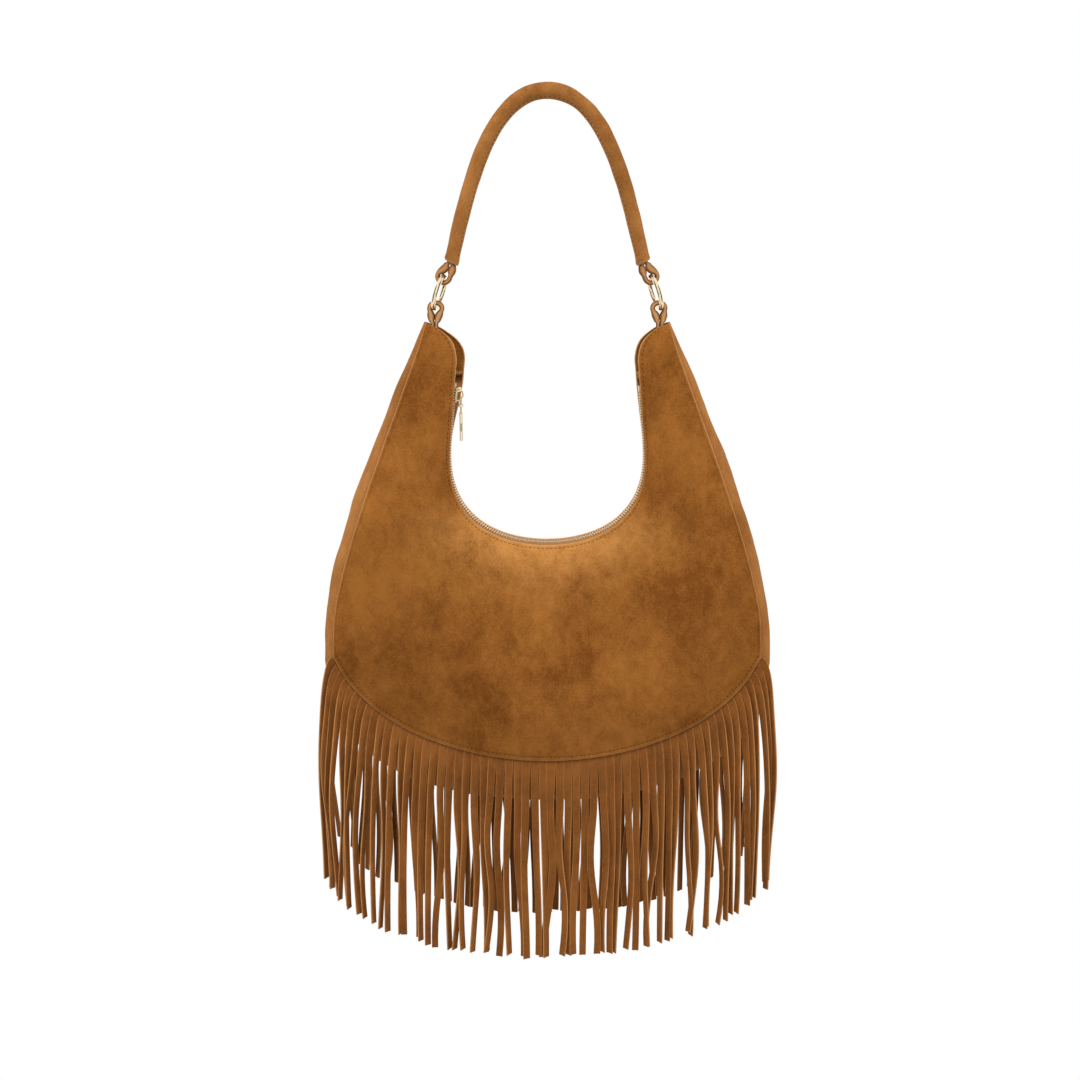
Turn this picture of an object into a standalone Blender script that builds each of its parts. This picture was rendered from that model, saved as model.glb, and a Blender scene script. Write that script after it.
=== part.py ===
"""Fringed suede shoulder bag, hung by its handle. Metres, +Z up, front towards -Y.

The origin is the hanging point: the underside of the handle's crown.
"""

import math

import bmesh
import bpy
from mathutils import Matrix, Vector

for item in list(bpy.data.objects):
    bpy.data.objects.remove(item, do_unlink=True)

# Clearances and material thicknesses
GAP = 0.0003
SUEDE = 0.0018
GUSSET_THICKNESS = 0.0016
FRINGE_THICKNESS = 0.0012
TAPE_THICKNESS = 0.0007
BITE = 0.0005

# Rolled handle
HANDLE_HALF_SPAN = 0.0784
HANDLE_DROP = 0.1273
HANDLE_RADIUS = 0.0062
HANDLE_CROWN_RADIUS = 0.0063
HANDLE_WALL = 0.0016
HANDLE_END_LEAN = math.radians(13.0)
HANDLE_CROWN_PULL = 0.563
HANDLE_LEG_PULL = 0.517
CORE_SETBACK = 0.0125

# Strap loops round the rings
LOOP_REACH = 0.0122
LOOP_LEAN = math.radians(29.5)
STRAP_THICKNESS = 0.0030
STRAP_WIDTH = 0.0080
LOOP_HOLE_RADIUS = 0.0042
LOOP_HOLE_OUT = 0.0016
LOOP_HOLE_DOWN = 0.0004
LOOP_HOLE_APEX = 0.0072
LOOP_SHOULDER = 0.0020
LOOP_STEPS = 10
HANDLE_NECK = 0.0044
TAB_NECK = 0.0036
LOOP_NECK = 0.0096
HANDLE_TAIL = 0.0110
HANDLE_TAIL_WIDTH = 0.0052
TAB_TAIL = 0.0165

# Metal rings
RING_BORE = 0.0235
RING_WIRE = 0.0038
RING_LEAN = math.radians(17.9)
RING_TURN = math.radians(8.0)

# Outline of the bag, measured from the horn tips
TIP_OUTSET = 0.0066
TAB_REACH = 0.0114
TIP_LEDGE = 0.0022
OPENING_HALF_WIDTH = 0.0812
OPENING_DROP = 0.1856
LEG_START_DROP = 0.0337
LEG_LENGTH = 0.0693
LEG_LEAN = math.radians(5.54)
CORNER_HALF_WIDTH = 0.1810
CORNER_DROP = 0.2767
FRONT_DROP = 0.3705
GUSSET_SIDE_BULGE = 0.0133
GUSSET_TOP_BULGE = 0.0014
BELLY_DROP = 0.0512

# Depth of the bag
BODY_HALF_DEPTH = 0.0400
OPENING_HALF_DEPTH = 0.0120
SEAM_LAP = 0.0060
PANEL_FULLNESS = 0.5

# Zip
CHAIN_HALF_WIDTH = 0.0030
CHAIN_HALF_GAP = 0.0008
CHAIN_THICKNESS = 0.0026
CHAIN_SINK = 0.0009
TAPE_LAP = 0.0080
SLIDER_REST = 0.0195
SLIDER_LENGTH = 0.0125
SLIDER_WIDTH = 0.0096
SLIDER_PLATE = 0.0012
BRIDGE_HEIGHT = 0.0054
BRIDGE_BAR = 0.0013
BRIDGE_WIDTH = 0.0026
STOP_LENGTH = 0.0030
END_STOP_LENGTH = 0.0046
END_STOP_FOOT = 0.0231

# Zip pull
LINK_WIRE = 0.0014
LINK_LENGTH = 0.0088
LINK_WIDTH = 0.0076
PULL_STEM = 0.0034
PULL_STEM_WIDTH = 0.0013
PULL_COLLAR = 0.0012
PULL_BAR_LENGTH = 0.0229
PULL_BAR_WIDTH = 0.0055
PULL_BAR_THICKNESS = 0.0024
PULL_LIP = 0.0004
PULL_EYE_WALL = 0.0009

# Fringe
FRINGE_STRIPS = 60
FRINGE_SLOT = 0.0009
FRINGE_LENGTH = 0.1865
FRINGE_SIDE_EXTRA = 0.0160
FRINGE_TUCK = 0.0040
FRINGE_ROOT = 0.0010
FRINGE_DRIFT = 0.0180
FRINGE_LEAVE = 0.0150
FRINGE_TWIST = math.radians(34.0)
FRINGE_FORWARD = 0.0016
FRINGE_ROWS = (0.26, 0.56, 1.0)

# Mesh fineness
BOTTOM_STATIONS = 9
SIDE_STATIONS = 7
HORN_STATIONS = 4
LINE_SAMPLES = 80
PANEL_SHARES = (0.0, 0.22, 0.46, 0.72, 1.0)
GUSSET_ANGLES = (0.0, 26.0, 50.0, 70.0)


def flat(x, z):
    """A point of the front view, x to the right and z up."""
    return Vector((x, z))


def bezier(a, b, c, d, t):
    r = 1.0 - t
    return a * r ** 3 + b * (3 * r * r * t) + c * (3 * r * t * t) + d * t ** 3


def sample(curves, count=LINE_SAMPLES):
    """Points along Bezier curves that follow each other."""
    points = [bezier(*curves[0], 0.0)]
    for curve in curves:
        points += [bezier(*curve, i / count) for i in range(1, count + 1)]
    return points


def nearest(line, point):
    """The point of a line that lies nearest to another point."""
    best = None
    for a, b in zip(line, line[1:]):
        run = b - a
        share = max(0.0, min(1.0, (point - a).dot(run) / run.length_squared))
        foot = a + run * share
        if best is None or (foot - point).length < (best - point).length:
            best = foot
    return best


def crossing(line, start, direction):
    """How far along a ray it first meets a line."""
    hits = []
    for a, b in zip(line, line[1:]):
        run = b - a
        turn = direction.x * run.y - direction.y * run.x
        if abs(turn) < 1e-12:
            continue
        gap = a - start
        reach = (gap.x * run.y - gap.y * run.x) / turn
        share = (gap.x * direction.y - gap.y * direction.x) / turn
        if reach > 0 and -0.001 <= share <= 1.001:
            hits.append(reach)
    return min(hits)


def walk(line, share):
    """The point at a share of a line's length."""
    lengths = [(b - a).length for a, b in zip(line, line[1:])]
    left = share * sum(lengths)
    for a, b, length in zip(line, line[1:], lengths):
        if left <= length:
            return a.lerp(b, left / length)
        left -= length
    return line[-1].copy()


def material(name, color, roughness, metallic=0.0):
    made = bpy.data.materials.new(name)
    made.use_nodes = True
    shader = made.node_tree.nodes["Principled BSDF"]
    shader.inputs["Base Color"].default_value = (*color, 1.0)
    shader.inputs["Roughness"].default_value = roughness
    shader.inputs["Metallic"].default_value = metallic
    return made


def add(name, bm, finish, smooth=True):
    """Turn a bmesh into a named object with its material."""
    bm.normal_update()
    bmesh.ops.recalc_face_normals(bm, faces=bm.faces)
    mesh = bpy.data.meshes.new(name)
    bm.to_mesh(mesh)
    bm.free()
    if smooth:
        mesh.shade_smooth()
        mesh.set_sharp_from_angle(angle=math.radians(40))
    mesh.materials.append(finish)
    item = bpy.data.objects.new(name, mesh)
    bpy.context.collection.objects.link(item)
    return item


def set_origin(item, place):
    """Put an object's origin on a joint's axis and leave its shape where it is."""
    item.data.transform(Matrix.Translation(-place))
    item.location = place
    return item


def loft(name, rings, ranks, finish):
    """A closed solid through rings of points, with both ends capped.

    Each four-sided patch is split from its lower to its higher rank, so that layers with the
    same ranks are faceted alike and stay a gap apart.
    """
    bm = bmesh.new()
    rows = [[bm.verts.new(point) for point in ring] for ring in rings]
    for low, high in zip(rows, rows[1:]):
        for i in range(len(low)):
            j = (i + 1) % len(low)
            if ranks[i] < ranks[j]:
                bm.faces.new((low[i], low[j], high[j]))
                bm.faces.new((low[i], high[j], high[i]))
            else:
                bm.faces.new((low[i], low[j], high[i]))
                bm.faces.new((low[j], high[j], high[i]))
    bm.faces.new(rows[0])
    bm.faces.new(rows[-1])
    return add(name, bm, finish)


def tube(name, path, radii, finish, wall=None, sides=10):
    """A tube or rod along a path in the front view, with its cut ends flat."""
    bm = bmesh.new()

    def ring(index, shrink):
        before = path[max(index - 1, 0)]
        after = path[min(index + 1, len(path) - 1)]
        along = (after - before).normalized()
        normal = Vector((-along.y, 0, along.x))
        centre = Vector((path[index].x, 0, path[index].y))
        radius = radii[index] - shrink
        angles = [2 * math.pi * i / sides for i in range(sides)]
        return [
            bm.verts.new(centre + normal * radius * math.cos(a) + Vector((0, radius * math.sin(a), 0)))
            for a in angles
        ]

    def skin(rings):
        for low, high in zip(rings, rings[1:]):
            for i in range(sides):
                j = (i + 1) % sides
                bm.faces.new((low[i], low[j], high[j], high[i]))

    outer = [ring(i, 0.0) for i in range(len(path))]
    skin(outer)
    if wall is None:
        bm.faces.new(outer[0])
        bm.faces.new(outer[-1])
    else:
        inner = [ring(i, wall) for i in range(len(path))]
        skin(inner)
        skin([outer[0], inner[0]])
        skin([outer[-1], inner[-1]])
    return add(name, bm, finish)


def plate(name, outlines, place, thickness, finish):
    """A flat plate from an outline and its holes; place maps (p, q, depth) to space."""
    bm = bmesh.new()
    edges = []
    for outline in outlines:
        verts = [bm.verts.new(place(p, q, -thickness / 2)) for p, q in outline]
        edges += [bm.edges.new((verts[i - 1], verts[i])) for i in range(len(verts))]
    bmesh.ops.triangle_fill(bm, use_beauty=True, edges=edges)
    face_set = bmesh.ops.extrude_face_region(bm, geom=bm.faces[:])
    shift = place(0, 0, thickness / 2) - place(0, 0, -thickness / 2)
    moved = [item for item in face_set["geom"] if isinstance(item, bmesh.types.BMVert)]
    bmesh.ops.translate(bm, verts=moved, vec=shift)
    return add(name, bm, finish)


def unite(base, *others):
    """Fuse guide solids into a base solid with Boolean modifiers."""
    for other in others:
        fuse = base.modifiers.new("fuse_" + other.name, "BOOLEAN")
        fuse.operation = "UNION"
        fuse.solver = "EXACT"
        fuse.object = other
        other.hide_render = True
        other.display_type = "WIRE"
    return base


# Finishes
SUEDE_TAN = material("suede_tan", (0.29, 0.105, 0.022), 0.95)
SUEDE_EDGE = material("suede_gusset", (0.26, 0.093, 0.020), 0.95)
SUEDE_FRINGE = material("suede_fringe", (0.21, 0.070, 0.014), 0.95)
SUEDE_HANDLE = material("suede_handle", (0.33, 0.125, 0.028), 0.9)
CORD_FILLER = material("cord_filler", (0.72, 0.66, 0.52), 0.9)
ZIP_TAPE = material("zip_tape", (0.16, 0.060, 0.018), 0.9)
PALE_GOLD = material("pale_gold", (0.86, 0.66, 0.36), 0.22, 1.0)
ZIP_METAL = material("zip_metal", (0.80, 0.62, 0.36), 0.3, 1.0)


# Hanging chain: handle end, loop, ring, tab and horn tip
RING_MEAN_RADIUS = (RING_BORE + RING_WIRE) / 2
LEAN_AXIS = flat(math.sin(RING_LEAN), -math.cos(RING_LEAN))
HANDLE_END = flat(HANDLE_HALF_SPAN, -HANDLE_DROP)
LOOP_AXIS = flat(math.sin(LOOP_LEAN), -math.cos(LOOP_LEAN))
WIRE_TOP = HANDLE_END + LOOP_AXIS * LOOP_REACH
RING_CENTRE = WIRE_TOP + LEAN_AXIS * RING_MEAN_RADIUS
WIRE_BOTTOM = RING_CENTRE + LEAN_AXIS * RING_MEAN_RADIUS
TIP = WIRE_BOTTOM + flat(TIP_OUTSET, -TAB_REACH)
TIP_HALF_DEPTH = STRAP_WIDTH / 2 + GAP + SUEDE

# Outline lines of the right half, in the front view
LEG_DOWN = flat(math.sin(LEG_LEAN), -math.cos(LEG_LEAN))
LEG_OUT = flat(math.cos(LEG_LEAN), math.sin(LEG_LEAN))
LEG_END = flat(OPENING_HALF_WIDTH, TIP.y - LEG_START_DROP - LEG_LENGTH * math.cos(LEG_LEAN))
LEG_TOP = LEG_END - LEG_DOWN * LEG_LENGTH
OPENING_FLOOR = TIP.y - OPENING_DROP
CORNER = flat(CORNER_HALF_WIDTH, TIP.y - CORNER_DROP)
FRONT_FLOOR = TIP.y - FRONT_DROP
OUTER_SIDE = flat(CORNER.x + GUSSET_SIDE_BULGE, CORNER.y - 0.35 * BELLY_DROP)
OUTER_FLOOR = FRONT_FLOOR - BELLY_DROP

HORN_LINE = (
    TIP,
    TIP + flat(-0.92, -0.38) * 0.36 * LEG_START_DROP,
    LEG_TOP - LEG_DOWN * 0.71 * LEG_START_DROP,
    LEG_TOP,
)
OPENING_CURVE = (
    LEG_END,
    LEG_END + LEG_DOWN * 0.85 * (LEG_END.y - OPENING_FLOOR),
    flat(0.39 * OPENING_HALF_WIDTH, OPENING_FLOOR),
    flat(0.0, OPENING_FLOOR),
)
LEG_LINE = (LEG_TOP, LEG_TOP.lerp(LEG_END, 1 / 3), LEG_TOP.lerp(LEG_END, 2 / 3), LEG_END)
SIDE_SEAM = (
    TIP,
    TIP + flat(0.300, -0.945) * 0.273 * CORNER_DROP,
    CORNER + flat(0.020, 0.239) * CORNER_DROP,
    CORNER,
)
LOWER_SEAM = (
    CORNER,
    CORNER + flat(-0.39, -0.92) * 0.428 * CORNER.x,
    flat(0.326 * CORNER.x, FRONT_FLOOR),
    flat(0.0, FRONT_FLOOR),
)
OUTER_TOP = TIP + flat(GUSSET_TOP_BULGE, GUSSET_TOP_BULGE)
OUTER_SIDE_LINE = (
    OUTER_TOP,
    OUTER_TOP + flat(0.411, -0.912) * 0.289 * CORNER_DROP,
    OUTER_SIDE + flat(0.0, 0.385 * CORNER_DROP),
    OUTER_SIDE,
)
OUTER_LOWER_LINE = (
    OUTER_SIDE,
    OUTER_SIDE + flat(0.0, 0.866 * (OUTER_FLOOR - OUTER_SIDE.y)),
    flat(0.364 * OUTER_SIDE.x, OUTER_FLOOR),
    flat(0.0, OUTER_FLOOR),
)

INNER = sample([HORN_LINE, LEG_LINE, OPENING_CURVE])
ZIP_LINE = sample([LEG_LINE, OPENING_CURVE])
SEAM_SIDE = sample([SIDE_SEAM])
SEAM_LOWER = sample([LOWER_SEAM])
OUTER = sample([OUTER_SIDE_LINE, OUTER_LOWER_LINE])


class Station:
    """One cut across the bag, from its opening through the seam to the gusset's ridge."""

    def __init__(self, inner, seam, opening_depth, seam_depth, side, edge_sink):
        self.inner = inner
        self.seam = seam
        self.along = (seam - inner).normalized()
        self.length = (seam - inner).length
        self.opening_depth = opening_depth
        self.seam_depth = seam_depth
        self.side = side
        self.edge_depth = seam_depth - edge_sink
        self.bulge = crossing(OUTER, seam, self.along)

    def point(self, reach, depth, face):
        """A point at a reach from the opening and a depth to the front (-1) or back (1)."""
        spot = self.inner + self.along * reach
        return Vector((self.side * spot.x, face * depth, spot.y))

    def panel(self, t, sink=0.0):
        """Reach and depth on the panel at t, sunk below its outer face."""
        rise = self.seam_depth - self.opening_depth
        a = flat(0.0, self.opening_depth)
        b = flat(0.08 * self.length, self.opening_depth + 0.85 * rise)
        c = flat(0.60 * self.length, self.seam_depth + PANEL_FULLNESS * rise)
        d = flat(self.length, self.seam_depth)
        r = 1.0 - t
        run = (b - a) * r * r + (c - b) * 2 * r * t + (d - c) * t * t
        run.normalize()
        return bezier(a, b, c, d, t) + flat(run.y, -run.x) * sink

    def lap_share(self):
        """The panel share that the zip tape's lap from the opening's edge covers."""
        rise = self.seam_depth - self.opening_depth
        speed = 3 * flat(0.08 * self.length, 0.85 * rise).length
        return min(0.4, TAPE_LAP / max(speed, TAPE_LAP))

    def panel_steps(self):
        """Shares of the panel's curve that its mesh follows, one at the tape's lap."""
        lap = self.lap_share()
        return [0.0] + [lap + (1.0 - lap) * share for share in PANEL_SHARES]

    def mirrored(self):
        twin = Station.__new__(Station)
        twin.__dict__.update(self.__dict__)
        twin.side = -self.side
        return twin


def side_depth(z):
    """Half the bag's depth at the seam, growing from the horn tip to the corner."""
    share = max(0.0, min(1.0, (TIP.y - z) / CORNER_DROP))
    return TIP_HALF_DEPTH + (BODY_HALF_DEPTH - TIP_HALF_DEPTH) * share ** 0.6


def right_stations():
    """Stations from the middle of the bottom round to the right horn tip."""
    side_sink = SUEDE + GAP
    lower_sink = side_sink + FRINGE_THICKNESS + GAP
    stations = []
    for i in range(BOTTOM_STATIONS + 1):
        seam = walk(SEAM_LOWER, 1.0 - i / BOTTOM_STATIONS)
        inner = nearest(ZIP_LINE, seam)
        stations.append(Station(inner, seam, OPENING_HALF_DEPTH, BODY_HALF_DEPTH, 1, lower_sink))
    fan_share = 1.0 - (LEG_START_DROP + 0.06 * LEG_LENGTH) / CORNER_DROP
    for i in range(1, SIDE_STATIONS + 1):
        seam = walk(SEAM_SIDE, 1.0 - fan_share * i / SIDE_STATIONS)
        inner = nearest(ZIP_LINE, seam)
        stations.append(Station(inner, seam, OPENING_HALF_DEPTH, side_depth(seam.y), 1, side_sink))
    fan = stations[-1]
    horn = [point for point in INNER if point.y > fan.inner.y] + [fan.inner]
    ledge = nearest(horn, TIP + flat(-TIP_LEDGE, -TIP_LEDGE))
    for i in range(1, HORN_STATIONS + 1):
        share = i / HORN_STATIONS
        seam = walk(SEAM_SIDE, (1.0 - fan_share) * (1.0 - share))
        inner = walk(horn, 1.0 - share) if i < HORN_STATIONS else ledge
        depth = TIP_HALF_DEPTH + (OPENING_HALF_DEPTH - TIP_HALF_DEPTH) * (1.0 - share) ** 0.7
        stations.append(Station(inner, seam, depth, max(depth, side_depth(seam.y)), 1, side_sink))
    return stations


RIGHT = right_stations()
STATIONS = [station.mirrored() for station in reversed(RIGHT[1:])] + RIGHT
ZIP_STATIONS = STATIONS[HORN_STATIONS:-HORN_STATIONS]


def make_panel(name, face):
    """Front or back panel: one cut piece of suede, from the opening's edge to the seam."""
    rings = []
    for station in STATIONS:
        steps = station.panel_steps()
        outer = [station.panel(t) for t in steps]
        inner = [station.panel(t, SUEDE) for t in reversed(steps)]
        rings.append([station.point(p.x, p.y, face) for p in outer + inner])
    ranks = list(range(len(steps))) + list(reversed(range(len(steps))))
    return loft(name, rings, ranks, SUEDE_TAN)


def make_gusset():
    """The strip that joins both panels from horn to horn round the bottom."""
    rings = []
    for station in STATIONS:
        lap = min(SEAM_LAP, 0.4 * station.length)

        def half(shrink):
            points = [flat(station.length - lap, station.edge_depth - shrink)]
            for angle in GUSSET_ANGLES:
                a = math.radians(angle)
                reach = station.length + (station.bulge - shrink) * math.sin(a)
                points.append(flat(reach, (station.edge_depth - shrink) * math.cos(a)))
            return points

        ring = []
        for shrink, front_first in ((0.0, True), (GUSSET_THICKNESS, False)):
            side = half(shrink)
            ridge = [station.point(station.length + station.bulge - shrink, 0.0, 1)]
            front = [station.point(p.x, p.y, -1) for p in side]
            back = [station.point(p.x, p.y, 1) for p in reversed(side)]
            strip = front + ridge + back
            ring += strip if front_first else list(reversed(strip))
        rings.append(ring)
    half_ranks = list(range(len(GUSSET_ANGLES) + 1))
    ranks = half_ranks + [len(half_ranks)] + list(reversed(half_ranks))
    return loft("gusset", rings, ranks + ranks, SUEDE_EDGE)


def make_tape(name, face):
    """One woven half of the zip, from its teeth to its lap under the panel's edge."""
    top = SUEDE + GAP
    rings = []
    for station in ZIP_STATIONS:
        lap = station.lap_share()
        start = CHAIN_HALF_WIDTH + GAP
        middle = CHAIN_SINK
        half = TAPE_THICKNESS / 2
        upper = [flat(middle - half, start), station.panel(0.0, top), station.panel(lap, top)]
        lower = [
            flat(middle + half, start),
            station.panel(0.0, top + TAPE_THICKNESS),
            station.panel(lap, top + TAPE_THICKNESS),
        ]
        ring = upper + list(reversed(lower))
        rings.append([station.point(p.x, p.y, face) for p in ring])
    return loft(name, rings, (0, 1, 2, 2, 1, 0), ZIP_TAPE)


def leg_station(side, a):
    """A station on the straight leg of one side, at a distance down from the leg's top."""
    station = ZIP_STATIONS[0].mirrored()
    station.side = side
    station.inner = LEG_TOP + LEG_DOWN * a
    station.along = LEG_OUT
    return station


def rack_stations():
    """The stations of the toothed stretch, from the top stops round to the end stop."""
    starts = {-1: SLIDER_REST, 1: END_STOP_FOOT + GAP}
    between = [
        station for station in ZIP_STATIONS
        if (station.inner - LEG_TOP).dot(LEG_DOWN) > starts[station.side] + STOP_LENGTH
    ]
    return [leg_station(-1, starts[-1])] + between + [leg_station(1, starts[1])]


def make_teeth(name, face):
    """One row of zip teeth as a rack along the tape's edge."""
    low = CHAIN_SINK - CHAIN_THICKNESS / 2
    high = CHAIN_SINK + CHAIN_THICKNESS / 2
    near, far = CHAIN_HALF_GAP, CHAIN_HALF_WIDTH
    corners = ((low, near), (low, far), (high, far), (high, near))
    rings = [[s.point(reach, depth, face) for reach, depth in corners] for s in rack_stations()]
    return loft(name, rings, (0, 0, 1, 1), ZIP_METAL)


def fringe_line():
    """The whole lower seam from the left corner to the right corner."""
    right = list(reversed(SEAM_LOWER))
    left = [flat(-point.x, point.y) for point in reversed(right[1:])]
    return left + right


def make_fringe(name, face):
    """One comb of strips with its header tucked between the panel and the gusset."""
    line = fringe_line()
    total = sum((b - a).length for a, b in zip(line, line[1:]))
    pitch = total / FRINGE_STRIPS
    depth = BODY_HALF_DEPTH - SUEDE - GAP - FRINGE_THICKNESS / 2
    bm = bmesh.new()

    def seam_at(length):
        spot = walk(line, min(1.0, max(0.0, length / total)))
        ahead = walk(line, min(1.0, (length + 0.002) / total))
        behind = walk(line, max(0.0, (length - 0.002) / total))
        run = (ahead - behind).normalized()
        return spot, flat(run.y, -run.x)

    def vert(spot, lift=0.0):
        return bm.verts.new(Vector((spot.x, face * (depth + lift), spot.y)))

    cuts = []
    for i in range(FRINGE_STRIPS):
        left = 0.0 if i == 0 else i * pitch + FRINGE_SLOT / 2
        right = total if i == FRINGE_STRIPS - 1 else (i + 1) * pitch - FRINGE_SLOT / 2
        cuts += [left, right]
    header = []
    for cut in cuts:
        spot, out = seam_at(cut)
        header.append((vert(spot - out * FRINGE_TUCK), vert(spot + out * FRINGE_ROOT)))
    for a, b in zip(header, header[1:]):
        bm.faces.new((a[0], b[0], b[1], a[1]))

    for i in range(FRINGE_STRIPS):
        middle = (cuts[2 * i] + cuts[2 * i + 1]) / 2
        half_width = (cuts[2 * i + 1] - cuts[2 * i]) / 2
        spot, out = seam_at(middle)
        root = spot + out * FRINGE_ROOT
        length = FRINGE_LENGTH + FRINGE_SIDE_EXTRA * abs(out.x)
        end = flat(root.x + FRINGE_DRIFT * out.x, spot.y - length)
        curve = (root, root + out * FRINGE_LEAVE, end + flat(0.0, 0.45 * length), end)
        side = -1.0 if spot.x < 0 else 1.0
        wave = math.sin(1.7 * i + 0.9 * face)
        twist = side * (FRINGE_TWIST + math.radians(5.0) * wave)
        last = (header[2 * i][1], header[2 * i + 1][1])
        for t in FRINGE_ROWS:
            centre = bezier(*curve, t)
            run = (bezier(*curve, min(1.0, t + 0.01)) - bezier(*curve, t - 0.01)).normalized()
            across = flat(-run.y, run.x)
            turn = twist * min(1.0, t / 0.5)
            shift = across * half_width * math.cos(turn)
            lift = half_width * math.sin(turn)
            forward = FRINGE_FORWARD * min(1.0, t / 0.3)
            row = (vert(centre - shift, forward - lift), vert(centre + shift, forward + lift))
            bm.faces.new((last[0], last[1], row[1], row[0]))
            last = row
    comb = add(name, bm, SUEDE_FRINGE)
    wall = comb.modifiers.new("thickness", "SOLIDIFY")
    wall.thickness = FRINGE_THICKNESS
    wall.offset = 0.0
    return comb


def handle_path():
    """The handle's centre line from its left end over the crown to its right end."""
    crown = flat(0.0, HANDLE_CROWN_RADIUS)
    rise = crown.y - HANDLE_END.y
    down = flat(math.sin(HANDLE_END_LEAN), -math.cos(HANDLE_END_LEAN))
    right = sample([(
        crown,
        crown + flat(HANDLE_CROWN_PULL * HANDLE_END.x, 0.0),
        HANDLE_END - down * HANDLE_LEG_PULL * rise,
        HANDLE_END,
    )], 11)
    left = [flat(-point.x, point.y) for point in reversed(right[1:])]
    return left + right


def make_handle():
    """The rolled cover and the filler cord inside it."""
    path = handle_path()
    radii = []
    for point in path:
        share = abs(point.x) / HANDLE_END.x
        radii.append(HANDLE_CROWN_RADIUS + (HANDLE_RADIUS - HANDLE_CROWN_RADIUS) * min(1.0, 2 * share))
    tube("handle_cover", path, radii, SUEDE_HANDLE, wall=HANDLE_WALL)

    total = sum((b - a).length for a, b in zip(path, path[1:]))
    share = CORE_SETBACK / total
    start, end = walk(path, share), walk(path, 1.0 - share)
    core = [start] + [point for point in path if point.y > start.y + CORE_SETBACK / 2] + [end]
    core_radius = HANDLE_RADIUS - HANDLE_WALL - 2 * GAP
    tube("handle_core", core, [core_radius] * len(core), CORD_FILLER, sides=8)


def make_loop(name, wire, axis, tail_axis, tail, side, tail_width, neck_half, finish):
    """A strap folded round a ring's wire, its two ends laid together as a tail.

    The hole is set off the wire so that the leaning ring stays clear of it as the bag swings.
    """
    above = 1.0 if axis.y > 0 else -1.0
    centre = wire + flat(LOOP_HOLE_OUT, -LOOP_HOLE_DOWN) * above
    tail_across = flat(-tail_axis.y, tail_axis.x)
    neck = wire + axis * LOOP_NECK
    outer_radius = LOOP_HOLE_RADIUS + STRAP_THICKNESS
    apex = wire + axis * LOOP_HOLE_APEX
    toward = apex - centre
    spread = math.acos(LOOP_HOLE_RADIUS / toward.length)
    first = math.atan2(toward.y, toward.x) + spread
    arc = [
        first + 2 * (math.pi - spread) * i / LOOP_STEPS
        for i in range(LOOP_STEPS + 1)
    ]
    rays = [flat(math.cos(a), math.sin(a)) for a in arc]
    outer = [centre + ray * outer_radius for ray in rays]
    hole = [centre + ray * LOOP_HOLE_RADIUS for ray in rays]
    shoulder = neck + tail_axis * LOOP_SHOULDER
    end = neck + tail_axis * tail
    outer += [
        neck - tail_across * neck_half,
        shoulder - tail_across * STRAP_THICKNESS,
        end - tail_across * STRAP_THICKNESS,
        end + tail_across * STRAP_THICKNESS,
        shoulder + tail_across * STRAP_THICKNESS,
        neck + tail_across * neck_half,
    ]
    hole.append(apex)

    def place(p, q, depth):
        reach = (flat(p, q) - neck).dot(tail_axis)
        share = max(0.0, min(1.0, 1.0 + reach / (0.8 * LOOP_NECK)))
        width = 1.0 + (tail_width / STRAP_WIDTH - 1.0) * share
        return Vector((side * p, depth * width, q))

    outlines = [[(p.x, p.y) for p in outer], [(p.x, p.y) for p in hole]]
    return strap(name, outlines, place, finish)


def strap(name, outlines, place, finish):
    """A folded strap: its outline with a hole, as wide as the strap and tapered by place."""
    bm = bmesh.new()
    sheets = []
    for depth in (-STRAP_WIDTH / 2, STRAP_WIDTH / 2):
        loops = []
        edges = []
        for outline in outlines:
            verts = [bm.verts.new(place(p, q, depth)) for p, q in outline]
            edges += [bm.edges.new((verts[i - 1], verts[i])) for i in range(len(verts))]
            loops.append(verts)
        bmesh.ops.triangle_fill(bm, use_beauty=True, edges=edges)
        sheets.append(loops)
    for near, far in zip(*sheets):
        for i in range(len(near)):
            bm.faces.new((near[i - 1], near[i], far[i], far[i - 1]))
    return add(name, bm, finish)


def make_ring(name, side):
    """One round wire ring, leaning with its top towards the middle of the bag."""
    bpy.ops.mesh.primitive_torus_add(
        major_segments=24,
        minor_segments=8,
        major_radius=RING_MEAN_RADIUS,
        minor_radius=RING_WIRE / 2,
    )
    ring = bpy.context.active_object
    ring.name = name
    ring.data.name = name
    long_axis = Vector((side * LEAN_AXIS.x, 0, LEAN_AXIS.y))
    plain_normal = Vector((side * math.cos(RING_LEAN), 0, math.sin(RING_LEAN)))
    limb = Vector((0, 1, 0)) * math.cos(RING_TURN) - plain_normal * math.sin(RING_TURN)
    normal = long_axis.cross(limb).normalized()
    turn = Matrix((long_axis, limb, normal)).transposed().to_4x4()
    ring.data.transform(turn)
    ring.location = Vector((side * RING_CENTRE.x, 0, RING_CENTRE.y))
    ring.data.materials.append(PALE_GOLD)
    ring.data.shade_smooth()
    return ring


# The left leg's frame: a runs down the zip, out runs from the opening into the bag
LEG_BASE = Vector((-LEG_TOP.x, 0, LEG_TOP.y))
LEG_A = Vector((-LEG_DOWN.x, 0, LEG_DOWN.y))
LEG_N = Vector((-LEG_OUT.x, 0, LEG_OUT.y))


def on_leg(a, out, y):
    return LEG_BASE + LEG_A * a + LEG_N * out + Vector((0, y, 0))


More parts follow.
